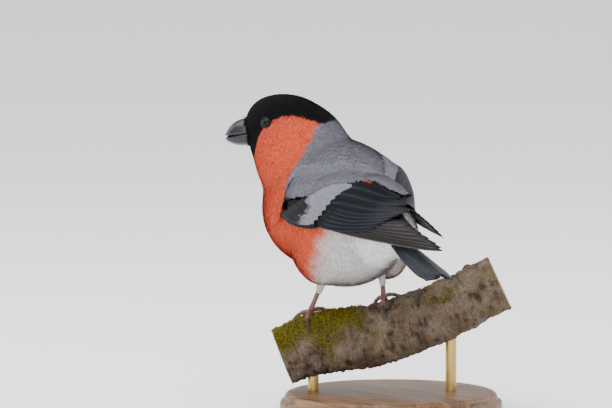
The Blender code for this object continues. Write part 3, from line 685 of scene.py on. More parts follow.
def eye_material():
    """Almost black brown iris under a wet clear surface."""
    made, tree, shader = new_material("wet_eye", srgb(8, 6, 5), 0.05, specular=0.12)
    shader.inputs["Coat Weight"].default_value = 0.04
    shader.inputs["Coat Roughness"].default_value = 0.02
    streaks = texture(tree, "ShaderNodeTexNoise", object_place(tree), Scale=2600.0, Detail=3.0)
    two_shades(tree, shader, streaks.outputs["Fac"], srgb(4, 3, 4), srgb(24, 15, 12))
    return made


def skin_material(name, light, dark, scale, roughness, strength):
    """Bare skin or horn: two close shades in small grains, with a fine relief."""
    made, tree, shader = new_material(name, light, roughness, specular=0.3)
    grain = texture(tree, "ShaderNodeTexNoise", object_place(tree), Scale=scale, Detail=4.0,
                    Roughness=0.6)
    two_shades(tree, shader, grain.outputs["Fac"], dark, light, 0.35, 0.68)
    add_bump(tree, shader, grain.outputs["Fac"], strength, 0.0002)
    return made


wet_eye = eye_material()
lid_skin = skin_material("lid_skin", srgb(20, 19, 22), srgb(8, 7, 9), 3000.0, 0.7, 0.4)
for eye_name, sign in (("left", 1), ("right", -1)):
    surface, normal = eye_middle(sign)
    ball_centre = surface - normal * EYE_SINK
    first = unit(np.cross(normal, (0.1, 0.2, 0.97)))
    second = np.cross(normal, first)
    ball = []
    for angle in np.linspace(0.06, math.pi - 0.06, 28):
        bulge = EYE_RADIUS + 0.12 * math.exp(-(angle / 0.7) ** 2)
        ball.append(ball_centre + normal * bulge * math.cos(angle)
                    + circle(first, second, 40) * bulge * math.sin(angle))
    add_shape(f"eyeball_{eye_name}", [closed_loft(ball)], wet_eye, [f"eye_{eye_name}"])
    opening = math.sqrt(EYE_RADIUS ** 2 - EYE_SINK ** 2) + 0.12
    rim = []
    for step, out in enumerate(circle(first, second, LID_STEPS)):
        bead = 1 + 0.12 * math.sin(step * 2 * math.pi / LID_STEPS * 22)
        middle = surface - normal * 0.02 + out * opening
        rim.append(middle + circle(out, normal, LID_SIDES) * LID_RADIUS * bead)
    rim_faces = grid_faces(LID_STEPS + 1, LID_SIDES) % (LID_STEPS * LID_SIDES)
    add_shape(f"lid_{eye_name}", [(np.concatenate(rim), rim_faces)], lid_skin)

# Wings: each folded wing is a fan of stiff feathers stacked like shingles. The long primaries
# lie lowest, then the secondaries, the broad tertials, and short coverts over their roots.
WING_ENDS = {                  # wrist, tip, stood out, width lost under the back, thickness
    "left": ((-8.5, -26.0, 4.1), (78.0, -6.5, -10.7), 0.6, 0.6, 1.0),
    "right": ((-12.0, -26.0, 5.6), (73.5, -0.3, -5.8), 1.5, 5.4, 0.55),
}
WING_LEAN = 42.0
WING_CLEARANCE = 0.5
WING_HIGH = 24.0
SLOPE_STEP = 2.5
WING_OUTLINE = [(0, -1.2, 1.5), (5, -5.2, 3.0), (14, -6.6, 4.6), (24, -5.6, 7.2), (31, -4.2, 11.8),
                (37, -3.0, 17.6), (43, -1.8, 20.4), (52, -0.9, 18.6), (61, -0.4, 12.4), (72, 0.0, 6.8),
                (84, 0.2, 2.2)]
FLIGHT_BLACK = srgb(7, 8, 12)
# painted gloss: blue grey laid along the outer vane and the shaft of the black wing quills
FLIGHT_PAINTED_GLOSS = srgb(36, 38, 50)
PRIMARY_BROWN = srgb(26, 23, 24)
PRIMARY_EDGE = srgb(78, 72, 68)
BAR_PALE = srgb(112, 111, 119)
TERTIAL_RED = srgb(150, 48, 36)
VANE_ROWS = 15
VANE_COLUMNS = np.array((-1.0, -0.94, -0.5, -0.08, 0.0, 0.08, 0.5, 0.94, 1.0))


def same_shape(*parts):
    """Numbers or arrays as arrays of one shape."""
    return np.broadcast_arrays(*(np.asarray(part, float) for part in parts))


class Wing:
    """A folded wing as a curved sheet: places on it by distance along, across and outward."""

    def __init__(self, wrist, tip, stand_out, hidden, thickness, mirror):
        lean = math.radians(WING_LEAN)
        out = np.array([0, -math.cos(lean), math.sin(lean)])
        self.wrist = np.array(wrist)
        self.hidden = hidden
        self.thickness = thickness
        self.mirror = np.array([1, mirror, 1])
        self.along = unit(np.array(tip) - wrist)
        self.out = unit(out - self.along * (out @ self.along))
        self.across = np.cross(self.out, self.along)
        self.alongs, self.acrosses = np.arange(-12.0, 101.0), np.arange(-14.0, 36.0)
        self.levels = self.sheet_levels(stand_out)

    def foot(self, along, across):
        """Places on the flat sheet through the wrist."""
        return self.wrist + self.along * along[..., None] + self.across * across[..., None]

    def sheet_levels(self, stand_out):
        """How far the inner face stands out, clear of the body, on a millimetre grid."""
        along, across = np.meshgrid(self.alongs, self.acrosses, indexing="ij")
        foot = self.foot(along, across)
        on_body = np.full(along.shape, -24.0)
        found = np.zeros(along.shape, bool)
        for level in np.linspace(18, -24, 43):
            inside = (depth(foot + self.out * level) < WING_CLEARANCE) & ~found
            on_body[inside] = level
            found |= inside
        above = on_body + 1.0
        for _ in range(9):
            middle = (on_body + above) / 2
            inside = depth(foot + self.out * middle[..., None]) < WING_CLEARANCE
            on_body = np.where(inside & found, middle, on_body)
            above = np.where(inside, above, middle)
        free = stand_out - 0.0011 * (along - 40) ** 2 - (across - 3) ** 2 / 43
        return 1.2 * np.logaddexp(on_body / 1.2, free / 1.2)

    def level(self, along, across):
        """The inner face's distance outward, between the grid's places."""
        row = np.clip(along - self.alongs[0], 0, len(self.alongs) - 1.001)
        column = np.clip(across - self.acrosses[0], 0, len(self.acrosses) - 1.001)
        i, j = row.astype(int), column.astype(int)
        u, v = row - i, column - j
        low = self.levels[i, j] * (1 - v) + self.levels[i, j + 1] * v
        high = self.levels[i + 1, j] * (1 - v) + self.levels[i + 1, j + 1] * v
        return low * (1 - u) + high * u

    def slope(self, along, across, step_along, step_across):
        """How fast the inner face rises, over a step to both sides."""
        rise = (self.level(along + step_along, across + step_across)
                - self.level(along - step_along, across - step_across))
        return (rise / (2 * SLOPE_STEP))[..., None]

    def place(self, along, across, rise):
        """Places on the wing, raised from its inner face, and the direction outward there."""
        along, across, rise = same_shape(along, across, rise)
        across = np.where(across > 0, across * (1 - self.hidden / WING_HIGH), across)
        normal = rows_unit(self.out - self.along * self.slope(along, across, SLOPE_STEP, 0)
                           - self.across * self.slope(along, across, 0, SLOPE_STEP))
        inner = self.foot(along, across) + self.out * self.level(along, across)[..., None]
        return (inner + normal * (rise * self.thickness)[..., None]) * self.mirror, normal * self.mirror


def quill_feather(place, root, tip, width, level, colours, bend=0.0, outer=0.85, seed=0,
                  dive=0.45, blunt=0.12, pale_from=None, thick=0.2):
    """One stiff feather as a closed thin vane: points, faces, colour and barb places."""
    generator = np.random.default_rng(seed)
    root, tip = np.array(root, float), np.array(tip, float)
    line = tip - root
    length = np.linalg.norm(line)
    side = np.array([-line[1], line[0]]) / length
    part = np.linspace(0, 1, VANE_ROWS) ** 0.9
    half = width / 2 * np.interp(part, (0, 0.3, 0.7, 0.86, 0.95, 1.0), (0.55, 0.92, 1.0, 0.84, 0.5, blunt))
    uneven = 1 + 0.03 * generator.normal(size=(VANE_ROWS, 2))
    column = VANE_COLUMNS[None]
    reach = np.where(column < 0, column * outer * uneven[:, :1], column * (2 - outer) * uneven[:, 1:])
    reach = reach * half[:, None]
    middle = root + line * part[:, None] + side * (bend * np.sin(part * math.pi))[:, None]
    flat = middle[:, None] + side * reach[..., None]
    rise = level + 0.22 * (1 - column ** 2) * (half / width * 2)[:, None]
    rise = rise + 0.05 * np.exp(-(column / 0.05) ** 2) - dive * np.clip(column, 0, 1) ** 2
    rise = rise - 0.55 * np.clip(1 - part / 0.25, 0, 1)[:, None]
    top, low = (place(flat[..., 0], flat[..., 1], height)[0] for height in (rise, rise - thick))
    cells = np.arange(rise.size).reshape(rise.shape)
    top_faces = grid_faces(*rise.shape, closed=False)
    rim = np.concatenate([cells[0], cells[1:, -1], cells[-1, -2::-1], cells[-2:0:-1, 0]])
    after = np.roll(rim, -1)
    rim_faces = np.stack((after, rim, rim + rise.size, after + rise.size), axis=1)
    body, edge, pale = colours
    # The edge colour runs along the outer vane and, weaker, along the shaft; on the black quills and the
    # tail it is painted gloss.
    edge_share = np.clip((np.abs(column) - 0.5) / 0.44, 0, 1) ** 2 * (column < 0) * 0.9
    tint = paint(body, edge, edge_share + 0.25 * np.exp(-(column / 0.06) ** 2))
    tint = tint * (1 + 0.06 * generator.normal(size=(VANE_ROWS, 1, 1)))
    if pale_from is not None:
        wave = part[:, None] + 0.04 * generator.normal(size=rise.shape)
        tint = paint(tint, pale, smooth_step(pale_from - 0.07, pale_from + 0.07, wave))
    barbs = np.broadcast_arrays((part * length)[:, None] - np.abs(reach) * 1.1, column)
    points = np.concatenate([top.reshape(-1, 3), low.reshape(-1, 3)])
    faces = np.concatenate([top_faces, top_faces[:, ::-1] + rise.size, rim_faces])
    tint = np.clip(np.tile(tint.reshape(-1, 3), (2, 1)), 0, 1)
    return points, faces, tint, np.tile(np.stack(barbs, axis=-1).reshape(-1, 2), (2, 1))


def quill_material(name, roughness, gloss):
    """Stiff feather: its own tint under slanting barbs and a cool gloss."""
    made, tree, shader = new_material(name, (0.1, 0.1, 0.1), roughness, specular=gloss)
    barbs = tree.nodes.new("ShaderNodeUVMap")
    barbs.uv_map = "barbs"
    bands = texture(tree, "ShaderNodeTexWave", barbs.outputs["UV"], Scale=1.1, Distortion=1.2,
                    Detail=2.0, Detail_Scale=1.5)
    bands.bands_direction = "X"
    streak = texture(tree, "ShaderNodeTexNoise", object_place(tree), Scale=700.0, Detail=3.0)
    both = tree.nodes.new("ShaderNodeMath")
    both.operation = "MULTIPLY_ADD"
    both.inputs[1].default_value = 0.22
    tree.links.new(bands.outputs["Fac"], both.inputs[0])
    tree.links.new(streak.outputs["Fac"], both.inputs[2])
    tint_by(tree, shader, both.outputs["Value"], 0.35, 0.85, 0.8, 1.18)
    add_bump(tree, shader, both.outputs["Value"], 0.25, 0.00015)
    return made


def add_quills(name, feathers, material, replaced):
    """One piece from many stiff feathers."""
    points, faces, tints, barbs = zip(*feathers)
    starts = np.arange(len(points)) * len(points[0])
    faces = np.concatenate([part + start for part, start in zip(faces, starts)])
    made = add_mesh(name, np.concatenate(points), faces, material, tint=np.concatenate(tints),
                    replaced=replaced)
    layer = made.data.uv_layers.new(name="barbs")
    layer.data.foreach_set("uv", np.concatenate(barbs)[faces.ravel()].astype(np.float32).ravel())


def quill_row(wing, tips, roots, width, level, step, colours, seed, **shape):
    """A row of like feathers, each lying a step above the one before."""
    return [quill_feather(wing.place, root, tip, width, level + step * index, colours,
                          seed=seed + index, **shape)
            for index, (tip, root) in enumerate(zip(tips, roots))]


def wing_quills(wing, side):
    """All the stiff feathers of one folded wing."""
    black = (FLIGHT_BLACK, FLIGHT_PAINTED_GLOSS, BAR_PALE)
    brown = (PRIMARY_BROWN, PRIMARY_EDGE, BAR_PALE)
    seed = 100 if side == "left" else 300
    primary_tips = ((88.5, 1.0), (87.2, 2.1), (84.0, 3.2), (79.5, 4.4), (74.8, 5.6), (70.4, 6.8),
                    (66.8, 8.0))
    feathers = quill_row(wing, primary_tips, np.linspace((20, -4.4), (28, 0.5), 7), 4.6, 0.75, 0.12,
                         brown, seed, bend=-1.1, outer=0.7)
    feathers += quill_row(wing, np.linspace((52.5, 1.2), (61.0, 12.4), 6),
                          np.linspace((17, -4.2), (24, 3.0), 6), 5.6, 1.55, 0.23, black, seed + 20,
                          bend=-0.9, blunt=0.3)
    tertials = (((22, 4), (62.2, 13.8), 7.4), ((24, 8), (57.5, 17.4), 8.0), ((27, 12), (50.0, 19.8), 7.6))
    for index, (root, tip, width) in enumerate(tertials):
        feathers.append(quill_feather(wing.place, root, tip, width, 2.85 + 0.22 * index, black, bend=1.2,
                                      seed=seed + 40 + index, blunt=0.35))
    if side == "left":
        feathers.append(quill_feather(wing.place, (36.9, 17.8), (39.9, 18.9), 1.1, 3.75,
                                      (TERTIAL_RED,) * 3, seed=seed + 45))
    feathers += quill_row(wing, np.linspace((24.5, -5.6), (22.0, -4.2), 3),
                          np.linspace((2, -4.2), (3, -2.6), 3), 2.6, 2.1, 0.1, black, seed + 50,
                          bend=-1.4)
    bar_tips = ((22.6, -3.9), (24.4, -2.0), (26.2, 0.0), (27.8, 2.2), (29.2, 4.5), (30.6, 6.9),
                (31.9, 9.3), (33.2, 11.6), (34.6, 13.8))
    for index, (tip, root) in enumerate(zip(bar_tips, np.linspace((3.5, -3.4), (24.0, 9.2), 9))):
        pale = paint(BAR_PALE, GREY, min(max(index - 2, 0) / 4, 1))
        pale_length = 7.6 + 0.3 * index + 3.0 * max(index - 3, 0)
        feathers.append(quill_feather(wing.place, root, tip, 4.4, 2.55 + 0.1 * index,
                                      (FLIGHT_BLACK, FLIGHT_PAINTED_GLOSS, pale), bend=-0.8,
                                      seed=seed + 60 + index, blunt=0.45,
                                      pale_from=1 - pale_length / math.dist(tip, root)))
    return feathers


def wing_core(wing):
    """The thin sheet that the quills grow from, inside their outline."""
    rings = []
    for along, low, high in WING_OUTLINE:
        places = np.linspace(low + 0.6, high - 0.9, 9)
        taper = min(1.0, 0.3 + along / 9)
        outer, _ = wing.place(along, places, 0.7 * taper)
        inner, _ = wing.place(along, places[::-1], 0.0)
        rings.append(np.concatenate([outer, inner]))
    return closed_loft(rings)


quill_black = quill_material("quill_feather", 0.5, 0.14)
wings = {}
for side, ends in WING_ENDS.items():
    wing = Wing(*ends, -1 if side == "right" else 1)
    wings[side] = wing
    core_points, core_faces = wing_core(wing)
    add_shape(f"wing_core_{side}", [(core_points, core_faces)], quill_black,
              tint=np.tile(FLIGHT_BLACK, (len(core_points), 1)))
    add_quills(f"wing_quills_{side}", wing_quills(wing, side), quill_black, [f"wing_{side}"])

# Tail: twelve straight glossy black feathers folded under one another, the middle pair on
# top, rooted in the rump.
TAIL_ROOT, TAIL_TIP = np.array((35.0, -0.3, -6.3)), np.array((92.0, -19.0, -20.7))
TAIL_BLACK = srgb(5, 6, 9)
# painted gloss along the outer vanes and shafts of the tail
TAIL_GLOSS = srgb(34, 37, 48)
tail_axis = unit(TAIL_TIP - TAIL_ROOT)
tail_side = unit(np.cross((0, 0, 1), tail_axis))
tail_above = np.cross(tail_axis, tail_side)
tail_length = np.linalg.norm(TAIL_TIP - TAIL_ROOT)


def tail_place(along, across, rise):
    """Places on the gently arched tail, raised from its middle sheet."""
    along, across, rise = same_shape(along, across, rise)
    arched = rise - across ** 2 / 60
    placed = (TAIL_ROOT + tail_axis * along[..., None] + tail_side * across[..., None]
              + tail_above * arched[..., None])
    return placed, np.broadcast_to(tail_above, placed.shape)


rectrices = []
for pair in range(6):
    for sign in (-1, 1):
        spread = sign * (0.9 + pair * 0.62)
        reach = tail_length - (1.5 if pair == 0 else 0.0) - max(pair - 3, 0) * 0.8
        rectrices.append(quill_feather(
            tail_place, (12, spread * 0.6), (reach, spread * 1.25), 7.2, 0.75 - pair * 0.3 + 0.05 * sign,
            (TAIL_BLACK, TAIL_GLOSS, TAIL_GLOSS), outer=1.0, seed=500 + pair * 2 + (sign > 0),
            dive=0.2, blunt=0.42, thick=0.22))
add_quills("rectrices", rectrices, quill_material("tail_quill", 0.38, 0.22), ["tail"])

# Shoulder feathers: soft grey feathers of the shoulder and forewing that spill over the upper
# edge of each folded wing, and breast feathers that close over its front.
SPILL_EDGE = [(-5, -9), (1.6, -8), (3.0, 2.4), (12, 3.8), (18.7, 4.8), (24, 8.4), (30, 12.2), (34.5, 14.6),
              (38.5, 18.9), (41, 20.8), (46, 21.5), (52, 22.0)]
SPILL_COUNT = 3600
unwrap_tree = KDTree(len(surface_points))
for index, point in enumerate(surface_points):
    unwrap_tree.insert(point, index)
unwrap_tree.balance()


def unwrap_near(points):
    """Unwrap place of the nearest point of the skin."""
    return np.array([skin_uv[unwrap_tree.find(point)[1]] for point in points])


def spill_over(wing, side):
    """Feathers over the wing's edge, from their tips on the wing back to the body."""
    generator = np.random.default_rng(21 if side == "left" else 22)
    lift = 3.4 if side == "left" else 2.6
    tip_a = generator.uniform(-3.5, 50, SPILL_COUNT)
    behind = generator.uniform(0, 1, SPILL_COUNT) ** 1.15 * 13
    tip_h = along_table(SPILL_EDGE, tip_a) + behind
    kept = (tip_h < 27) & (tip_h > -7.5 + 0.5 * tip_a)
    tip_a, tip_h, behind = tip_a[kept], tip_h[kept], behind[kept]
    count = len(tip_a)
    length = generator.uniform(4.2, 6.2, count) * smooth_step(-12, 8, tip_a)
    width = length * generator.uniform(0.4, 0.52, count)
    heading = np.radians(-16 - 10 * smooth_step(10, 40, tip_a) + generator.normal(0, 7, count))
    ahead, beside = np.cos(heading)[:, None], np.sin(heading)[:, None]
    along, across = barb_shapes(count, generator)
    back = (along - 1) * length[:, None]
    aside = across * width[:, None]
    a = tip_a[:, None] + back * ahead - aside * beside
    h = tip_h[:, None] + back * beside + aside * ahead
    on_wing = smooth_step(-5, 8, a) * (1 - smooth_step(2.5, 11.5, h - along_table(SPILL_EDGE, a)))
    rise = -0.3 + 0.45 * smooth_step(-6, 3, a) + lift * on_wing - 0.9 * np.clip(1 - along, 0, 1) ** 1.3
    rise = rise + generator.uniform(0.0, 0.35, count)[:, None] * along
    places, out = wing.place(a, h, rise)
    toward, _ = wing.place(a[:, :1] + 1.0, h[:, :1] - 0.3, rise[:, :1])
    lie = rows_unit(toward - places[:, :1])
    facing = barb_facing(out, lie, np.cross(out, lie), along, across, generator)
    middle, _ = wing.place(tip_a, tip_h, 0.0)
    middle[:, 0] = np.minimum(middle[:, 0], 22)
    front = smooth_step(3.5, 0.5, tip_a) * smooth_step(7.0, 4.0, tip_h)
    pale = 0.4 * smooth_step(14, 26, tip_a) * smooth_step(38, 33, tip_a) * smooth_step(4.0, 0.0, behind)
    colour = paint(paint(markings(middle), RED, front), BAR_PALE, pale)
    shade = barb_shade(along, generator)
    if side == "right":        # the mirrored barbs are wound the other way round
        places, facing, shade = (part.reshape(count, -1, 4, *part.shape[2:])[:, :, ::-1].reshape(part.shape)
                                 for part in (places, facing, shade))
    lay_feathers(f"shoulder_feathers_{side}", places, facing, colour, shade,
                 unwrap_near(places[:, 0]), (along, across))


for side, wing in wings.items():
    spill_over(wing, side)

# Bill: short, deep and swollen, of dark horn with a bluish gloss, the upper half slightly
# hooked over the lower. Small black bristles lie forward over its base.
BILL_LENGTH, BILL_WIDTH = 9.4, 9.6
BILL_START, BILL_DROP = 18.2, 4.0
BILL_PITCH, GAPE = 9.0, 5.0
BILL_HEIGHTS = {"upper": (6.2, 1), "lower": (5.0, -1)}
BILL_BASE_DEPTH = 0.42         # how far the horn runs back under the feathers, of its length
BRISTLES = 900


def bill_shape(height, sign):
    """One half of the bill, finely drawn, with a hollowed inner face and a keeled ridge."""
    pitch = -BILL_PITCH + sign * GAPE / 2
    forward, side, above = form_axes(HEAD_YAW, pitch)
    corner = head_place(BILL_START, 0, -BILL_DROP) + above * sign * 0.3
    rings = []
    under = np.linspace(-BILL_BASE_DEPTH, 0, 6)[:-1]
    for part in np.concatenate([under, 1 - np.linspace(1, 0.03, 30) ** 1.4]):
        ahead = max(part, 0.0)
        swell = (1 - ahead ** 1.7) ** 0.62
        hook = -1.2 * ahead ** 3 if sign > 0 else 0.0
        ring = []
        for turn_angle in np.linspace(0, math.pi, 33):
            keel = 1 + 0.05 * math.exp(-((turn_angle - math.pi / 2) / 0.16) ** 2)
            across = math.cos(turn_angle) * BILL_WIDTH / 2 * swell ** 1.1
            rise = math.sin(turn_angle) ** 0.8 * height * swell * keel
            ring.append(corner + forward * BILL_LENGTH * part + side * across
                        + above * (sign * rise + hook * (0.3 + 0.7 * math.sin(turn_angle))))
        for share in np.linspace(-0.86, 0.86, 9):
            across = share * BILL_WIDTH / 2 * swell ** 1.1
            inner = 0.5 * (1 - share ** 2) * swell
            if sign < 0:
                tongue = math.exp(-(share / 0.55) ** 2) * smooth_step(0.97, 0.8, np.float64(ahead))
                inner = -tongue * (0.5 + BILL_LENGTH * ahead * math.radians(GAPE)) * 0.9
            ring.append(corner + forward * BILL_LENGTH * part + side * across
                        + above * (sign * inner + hook * 0.3))
        rings.append(ring)
    return closed_loft(rings)


def stretched(tree, scale, turn=0.0):
    """Places on the piece, drawn out along one direction."""
    stretch = tree.nodes.new("ShaderNodeMapping")
    stretch.inputs["Rotation"].default_value = (0, 0, turn)
    stretch.inputs["Scale"].default_value = scale
    tree.links.new(object_place(tree), stretch.inputs["Vector"])
    return stretch.outputs["Vector"]


def horn_material(name, light, dark, roughness):
    """Horn drawn out in fine streaks toward the tip, under a soft gloss."""
    made, tree, shader = new_material(name, light, roughness, specular=0.4)
    streaks = texture(tree, "ShaderNodeTexNoise", stretched(tree, (0.25, 1, 1), math.radians(HEAD_YAW)),
                      Scale=1500.0, Detail=4.0, Roughness=0.55)
    two_shades(tree, shader, streaks.outputs["Fac"], dark, light, 0.3, 0.72)
    shader.inputs["Coat Weight"].default_value = 0.12
    shader.inputs["Coat Roughness"].default_value = 0.25
    add_bump(tree, shader, streaks.outputs["Fac"], 0.15, 0.0002)
    return made


bill_horn = horn_material("bill_horn", srgb(42, 41, 49), srgb(13, 12, 15), 0.3)
for half_name, (height, sign) in BILL_HEIGHTS.items():
    add_shape(f"bill_{half_name}_horn", [bill_shape(height, sign)], bill_horn, [f"bill_{half_name}"])


def base_bristles():
    """Short black feathers that point forward over the base of the bill and round the chin."""
    generator = np.random.default_rng(33)
    turns = generator.uniform(0, 2 * math.pi, BRISTLES)
    forward, side, above = form_axes(HEAD_YAW, -BILL_PITCH)
    ring = (np.cos(turns)[:, None] * side * (BILL_WIDTH / 2 + 0.5)
            + np.sin(turns)[:, None] * above * np.where(np.sin(turns) > 0, 6.2, 5.2)[:, None])
    centre = head_place(BILL_START, 0, -BILL_DROP)
    roots = centre + ring * generator.uniform(0.97, 1.12, BRISTLES)[:, None]
    roots = roots - forward * generator.uniform(2.6, 4.6, BRISTLES)[:, None]
    normals = rows_unit(ring)
    length = generator.uniform(2.0, 3.2, BRISTLES) * (0.75 + 0.25 * np.abs(np.sin(turns)))
    lie = rows_unit(forward + generator.normal(0, 0.18, (BRISTLES, 3)) - normals * 0.12)
    aside = np.cross(normals, lie)
    along, across = barb_shapes(BRISTLES, generator)
    places = spread_barbs(roots, lie, aside, along * length[:, None], across * 0.9)
    places = places + normals[:, None] * (0.3 * along)[..., None]
    facing = rows_unit(normals[:, None] + aside[:, None] * across[..., None])
    shade = (1 + generator.normal(0, 0.1, BRISTLES))[:, None] * (0.7 + 0.3 * along)
    lay_feathers("bill_bristles", places, facing, np.tile(BLACK, (BRISTLES, 1)), shade,
                 unwrap_near(roots), (along, across))


base_bristles()

# Perch: a cut length of a rough mossy branch with one twig stub. Its bark is grey brown,
# wrinkled across and scaly; both sawn ends show the growth rings.
BRANCH_YAW = math.radians(50)
BRANCH_SHIFT = -2.5
BRANCH_LINE = [(-26, -65.2, 12.6), (-13.3, -60.3, 13.9), (3, -57.6, 14.2), (20, -54.6, 14.1),
               (45, -44.6, 13.4), (72, -32.0, 12.6)]
BARK_STATIONS, BARK_SIDES = 250, 150
BARK_BROWN, BARK_GREY, BARK_DARK = srgb(78, 62, 49), srgb(114, 101, 86), srgb(34, 26, 21)
MOSS_GREEN, MOSS_YELLOW = srgb(74, 72, 18), srgb(158, 138, 24)
CUT_WOOD, CUT_RING = srgb(196, 168, 128), srgb(158, 122, 84)
CUT_RINGS = (0.08, 0.2, 0.34, 0.5, 0.66, 0.8, 0.9, 0.95, 0.985)
STUB_ROUGHNESS, STUB_APART = 0.22, np.diag((31.0, 47.0, 63.0))
MOSS_SHOOTS = 5200
branch_plan = np.array([math.cos(BRANCH_YAW), math.sin(BRANCH_YAW), 0])
branch_across = np.array([-math.sin(BRANCH_YAW), math.cos(BRANCH_YAW), 0])


def branch_station(distance):
    """Middle, upward direction and radius of the branch at a plan distance."""
    fraction = farthest(lambda half: smooth_line(BRANCH_LINE, half)[0][0] < distance, 0.0, 1.0, 40)
    place, slope = smooth_line(BRANCH_LINE, fraction)
    centre = branch_plan * place[0] + branch_across * BRANCH_SHIFT + np.array([0, 0, place[1]])
    direction = unit(branch_plan * slope[0] + np.array([0, 0, slope[1]]))
    return centre, -np.cross(branch_across, direction), place[2]


def above_bark(station, distance, angle, rise):
    """A place above the bark; the angle goes from the top, away from the photographer."""
    centre, up, radius = station
    uneven = radius * (1 + 0.018 * math.sin(3 * angle + distance * 0.09)
                       + 0.012 * math.sin(5 * angle - distance * 0.17))
    return centre + (up * math.cos(angle) + branch_across * math.sin(angle)) * (uneven + rise)


def on_branch(distance, angle, rise):
    """A place above the bark at a plan distance."""
    return above_bark(branch_station(distance), distance, angle, rise)


def bark_noise(along, angle, radius, rough, step, octaves):
    """Uneven growth of the bark at a place along and round the branch."""
    place = Vector((along, math.cos(angle) * radius, math.sin(angle) * radius))
    return noise.fractal(place, rough, step, octaves)


def bark_relief(distance, angle):
    """Height of the bark and how deep in a crack a place is."""
    wrinkle = bark_noise(distance * 0.62, angle, 13 * 0.16, 0.9, 2.1, 4)
    scale = bark_noise(distance * 0.2 + 40, angle, 13 * 0.2, 0.8, 2.2, 5)
    around = math.cos(angle) * 16.9, math.sin(angle) * 16.9 + 9
    crumb = noise.noise(Vector((distance * 1.3, *around)))
    height = 0.6 * wrinkle + 0.7 * scale + 0.2 * crumb
    return max(min(height - 0.25, 0.42), -1.3), max(0.0, -height)


def moss_share(distance, angle):
    """Moss grows on the lower, camera side part of the branch's upper face."""
    patch = bark_noise(distance * 0.085 + 3, angle, 1.1, 1.0, 2.0, 4)
    distance = np.float64(distance)
    along = smooth_step(24.0, -2.0, distance) + 0.22 * smooth_step(30.0, 48.0, distance)
    facing = math.exp(-((angle + 0.55) / 1.05) ** 2)
    return float(np.clip(along * facing * 1.5 + patch * 0.75 - 0.28, 0, 1))


def sawn_end(ring):
    """Rings of a sawn end, from its middle to its rim."""
    middle = ring.mean(axis=0)
    return [middle + (ring - middle) * share for share in CUT_RINGS]


def perch_shape():
    """Bark, rim and rings of the perch: points, faces and colours."""
    rings, colours = [], []
    angles = np.arange(BARK_SIDES) * 2 * math.pi / BARK_SIDES
    angles = np.where(angles > math.pi, angles - 2 * math.pi, angles)
    for distance in np.linspace(BRANCH_LINE[0][0], BRANCH_LINE[-1][0], BARK_STATIONS):
        ring, shades = [], []
        station = branch_station(distance)
        for angle in angles:
            height, crack = bark_relief(distance, angle)
            ring.append(above_bark(station, distance, angle, height))
            grey = 0.5 + 0.5 * bark_noise(distance * 0.13, angle, 2, 0.8, 2.0, 4)
            # painted shade: the bark darkens toward BARK_DARK with the depth of each crack
            shade = paint(paint(BARK_BROWN, BARK_GREY, grey), BARK_DARK, min(crack * 1.1, 0.85))
            shades.append(paint(shade, MOSS_GREEN, 0.8 * moss_share(distance, angle)))
        rings.append(np.array(ring))
        colours.append(np.array(shades))
    cut_tints = []
    for share in CUT_RINGS:
        tone = paint(CUT_WOOD, CUT_RING, 0.25 + 0.25 * math.sin(share * 40))
        cut_tints.append(np.tile(tone if share < 0.93 else BARK_DARK, (BARK_SIDES, 1)))
    points, faces = closed_loft(sawn_end(rings[0]) + rings + sawn_end(rings[-1])[::-1])
    tints = np.concatenate(cut_tints + colours + cut_tints[::-1])
    return points, faces, np.concatenate([tints, [CUT_RING], [CUT_RING]])


def bark_material():
    """Rough bark: the tint of each place under fine crumbs and grain."""
    made, tree, shader = new_material("bark", (0.2, 0.2, 0.2), 0.92, specular=0.15)
    place = object_place(tree)
    crumbs = texture(tree, "ShaderNodeTexNoise", place, Scale=1600.0, Detail=5.0, Roughness=0.7)
    flecks = texture(tree, "ShaderNodeTexVoronoi", place, Scale=900.0)
    tint_by(tree, shader, crumbs.outputs["Fac"], 0.3, 0.7, 0.5, 1.5)
    both = tree.nodes.new("ShaderNodeMath")
    both.operation = "MULTIPLY"
    tree.links.new(crumbs.outputs["Fac"], both.inputs[0])
    tree.links.new(flecks.outputs["Distance"], both.inputs[1])
    add_bump(tree, shader, both.outputs["Value"], 0.8, 0.0006)
    return made


bark = bark_material()
perch_points, perch_faces, perch_tint = perch_shape()
stub_line = [on_branch(58, 0.9, -5), on_branch(59, 0.9, -2), on_branch(60, 0.9, 0),
             on_branch(61.5, 0.91, 2.2), on_branch(63, 0.92, 4.5)]
stub_points, stub_faces = tube(stub_line, (4.6, 4.0, 3.5, 3.0, 2.6), 28)
stub_bumps = [[noise.noise(Vector(point * 0.9 + apart)) for apart in STUB_APART] for point in stub_points]
stub_points = stub_points + np.array(stub_bumps) * STUB_ROUGHNESS
stub_tint = np.concatenate([np.tile(BARK_BROWN, (len(stub_points) - 1, 1)), [CUT_WOOD]])
add_shape("branch", [(perch_points, perch_faces), (stub_points, stub_faces)], bark, ["perch"],
          tint=np.concatenate([perch_tint, stub_tint]))


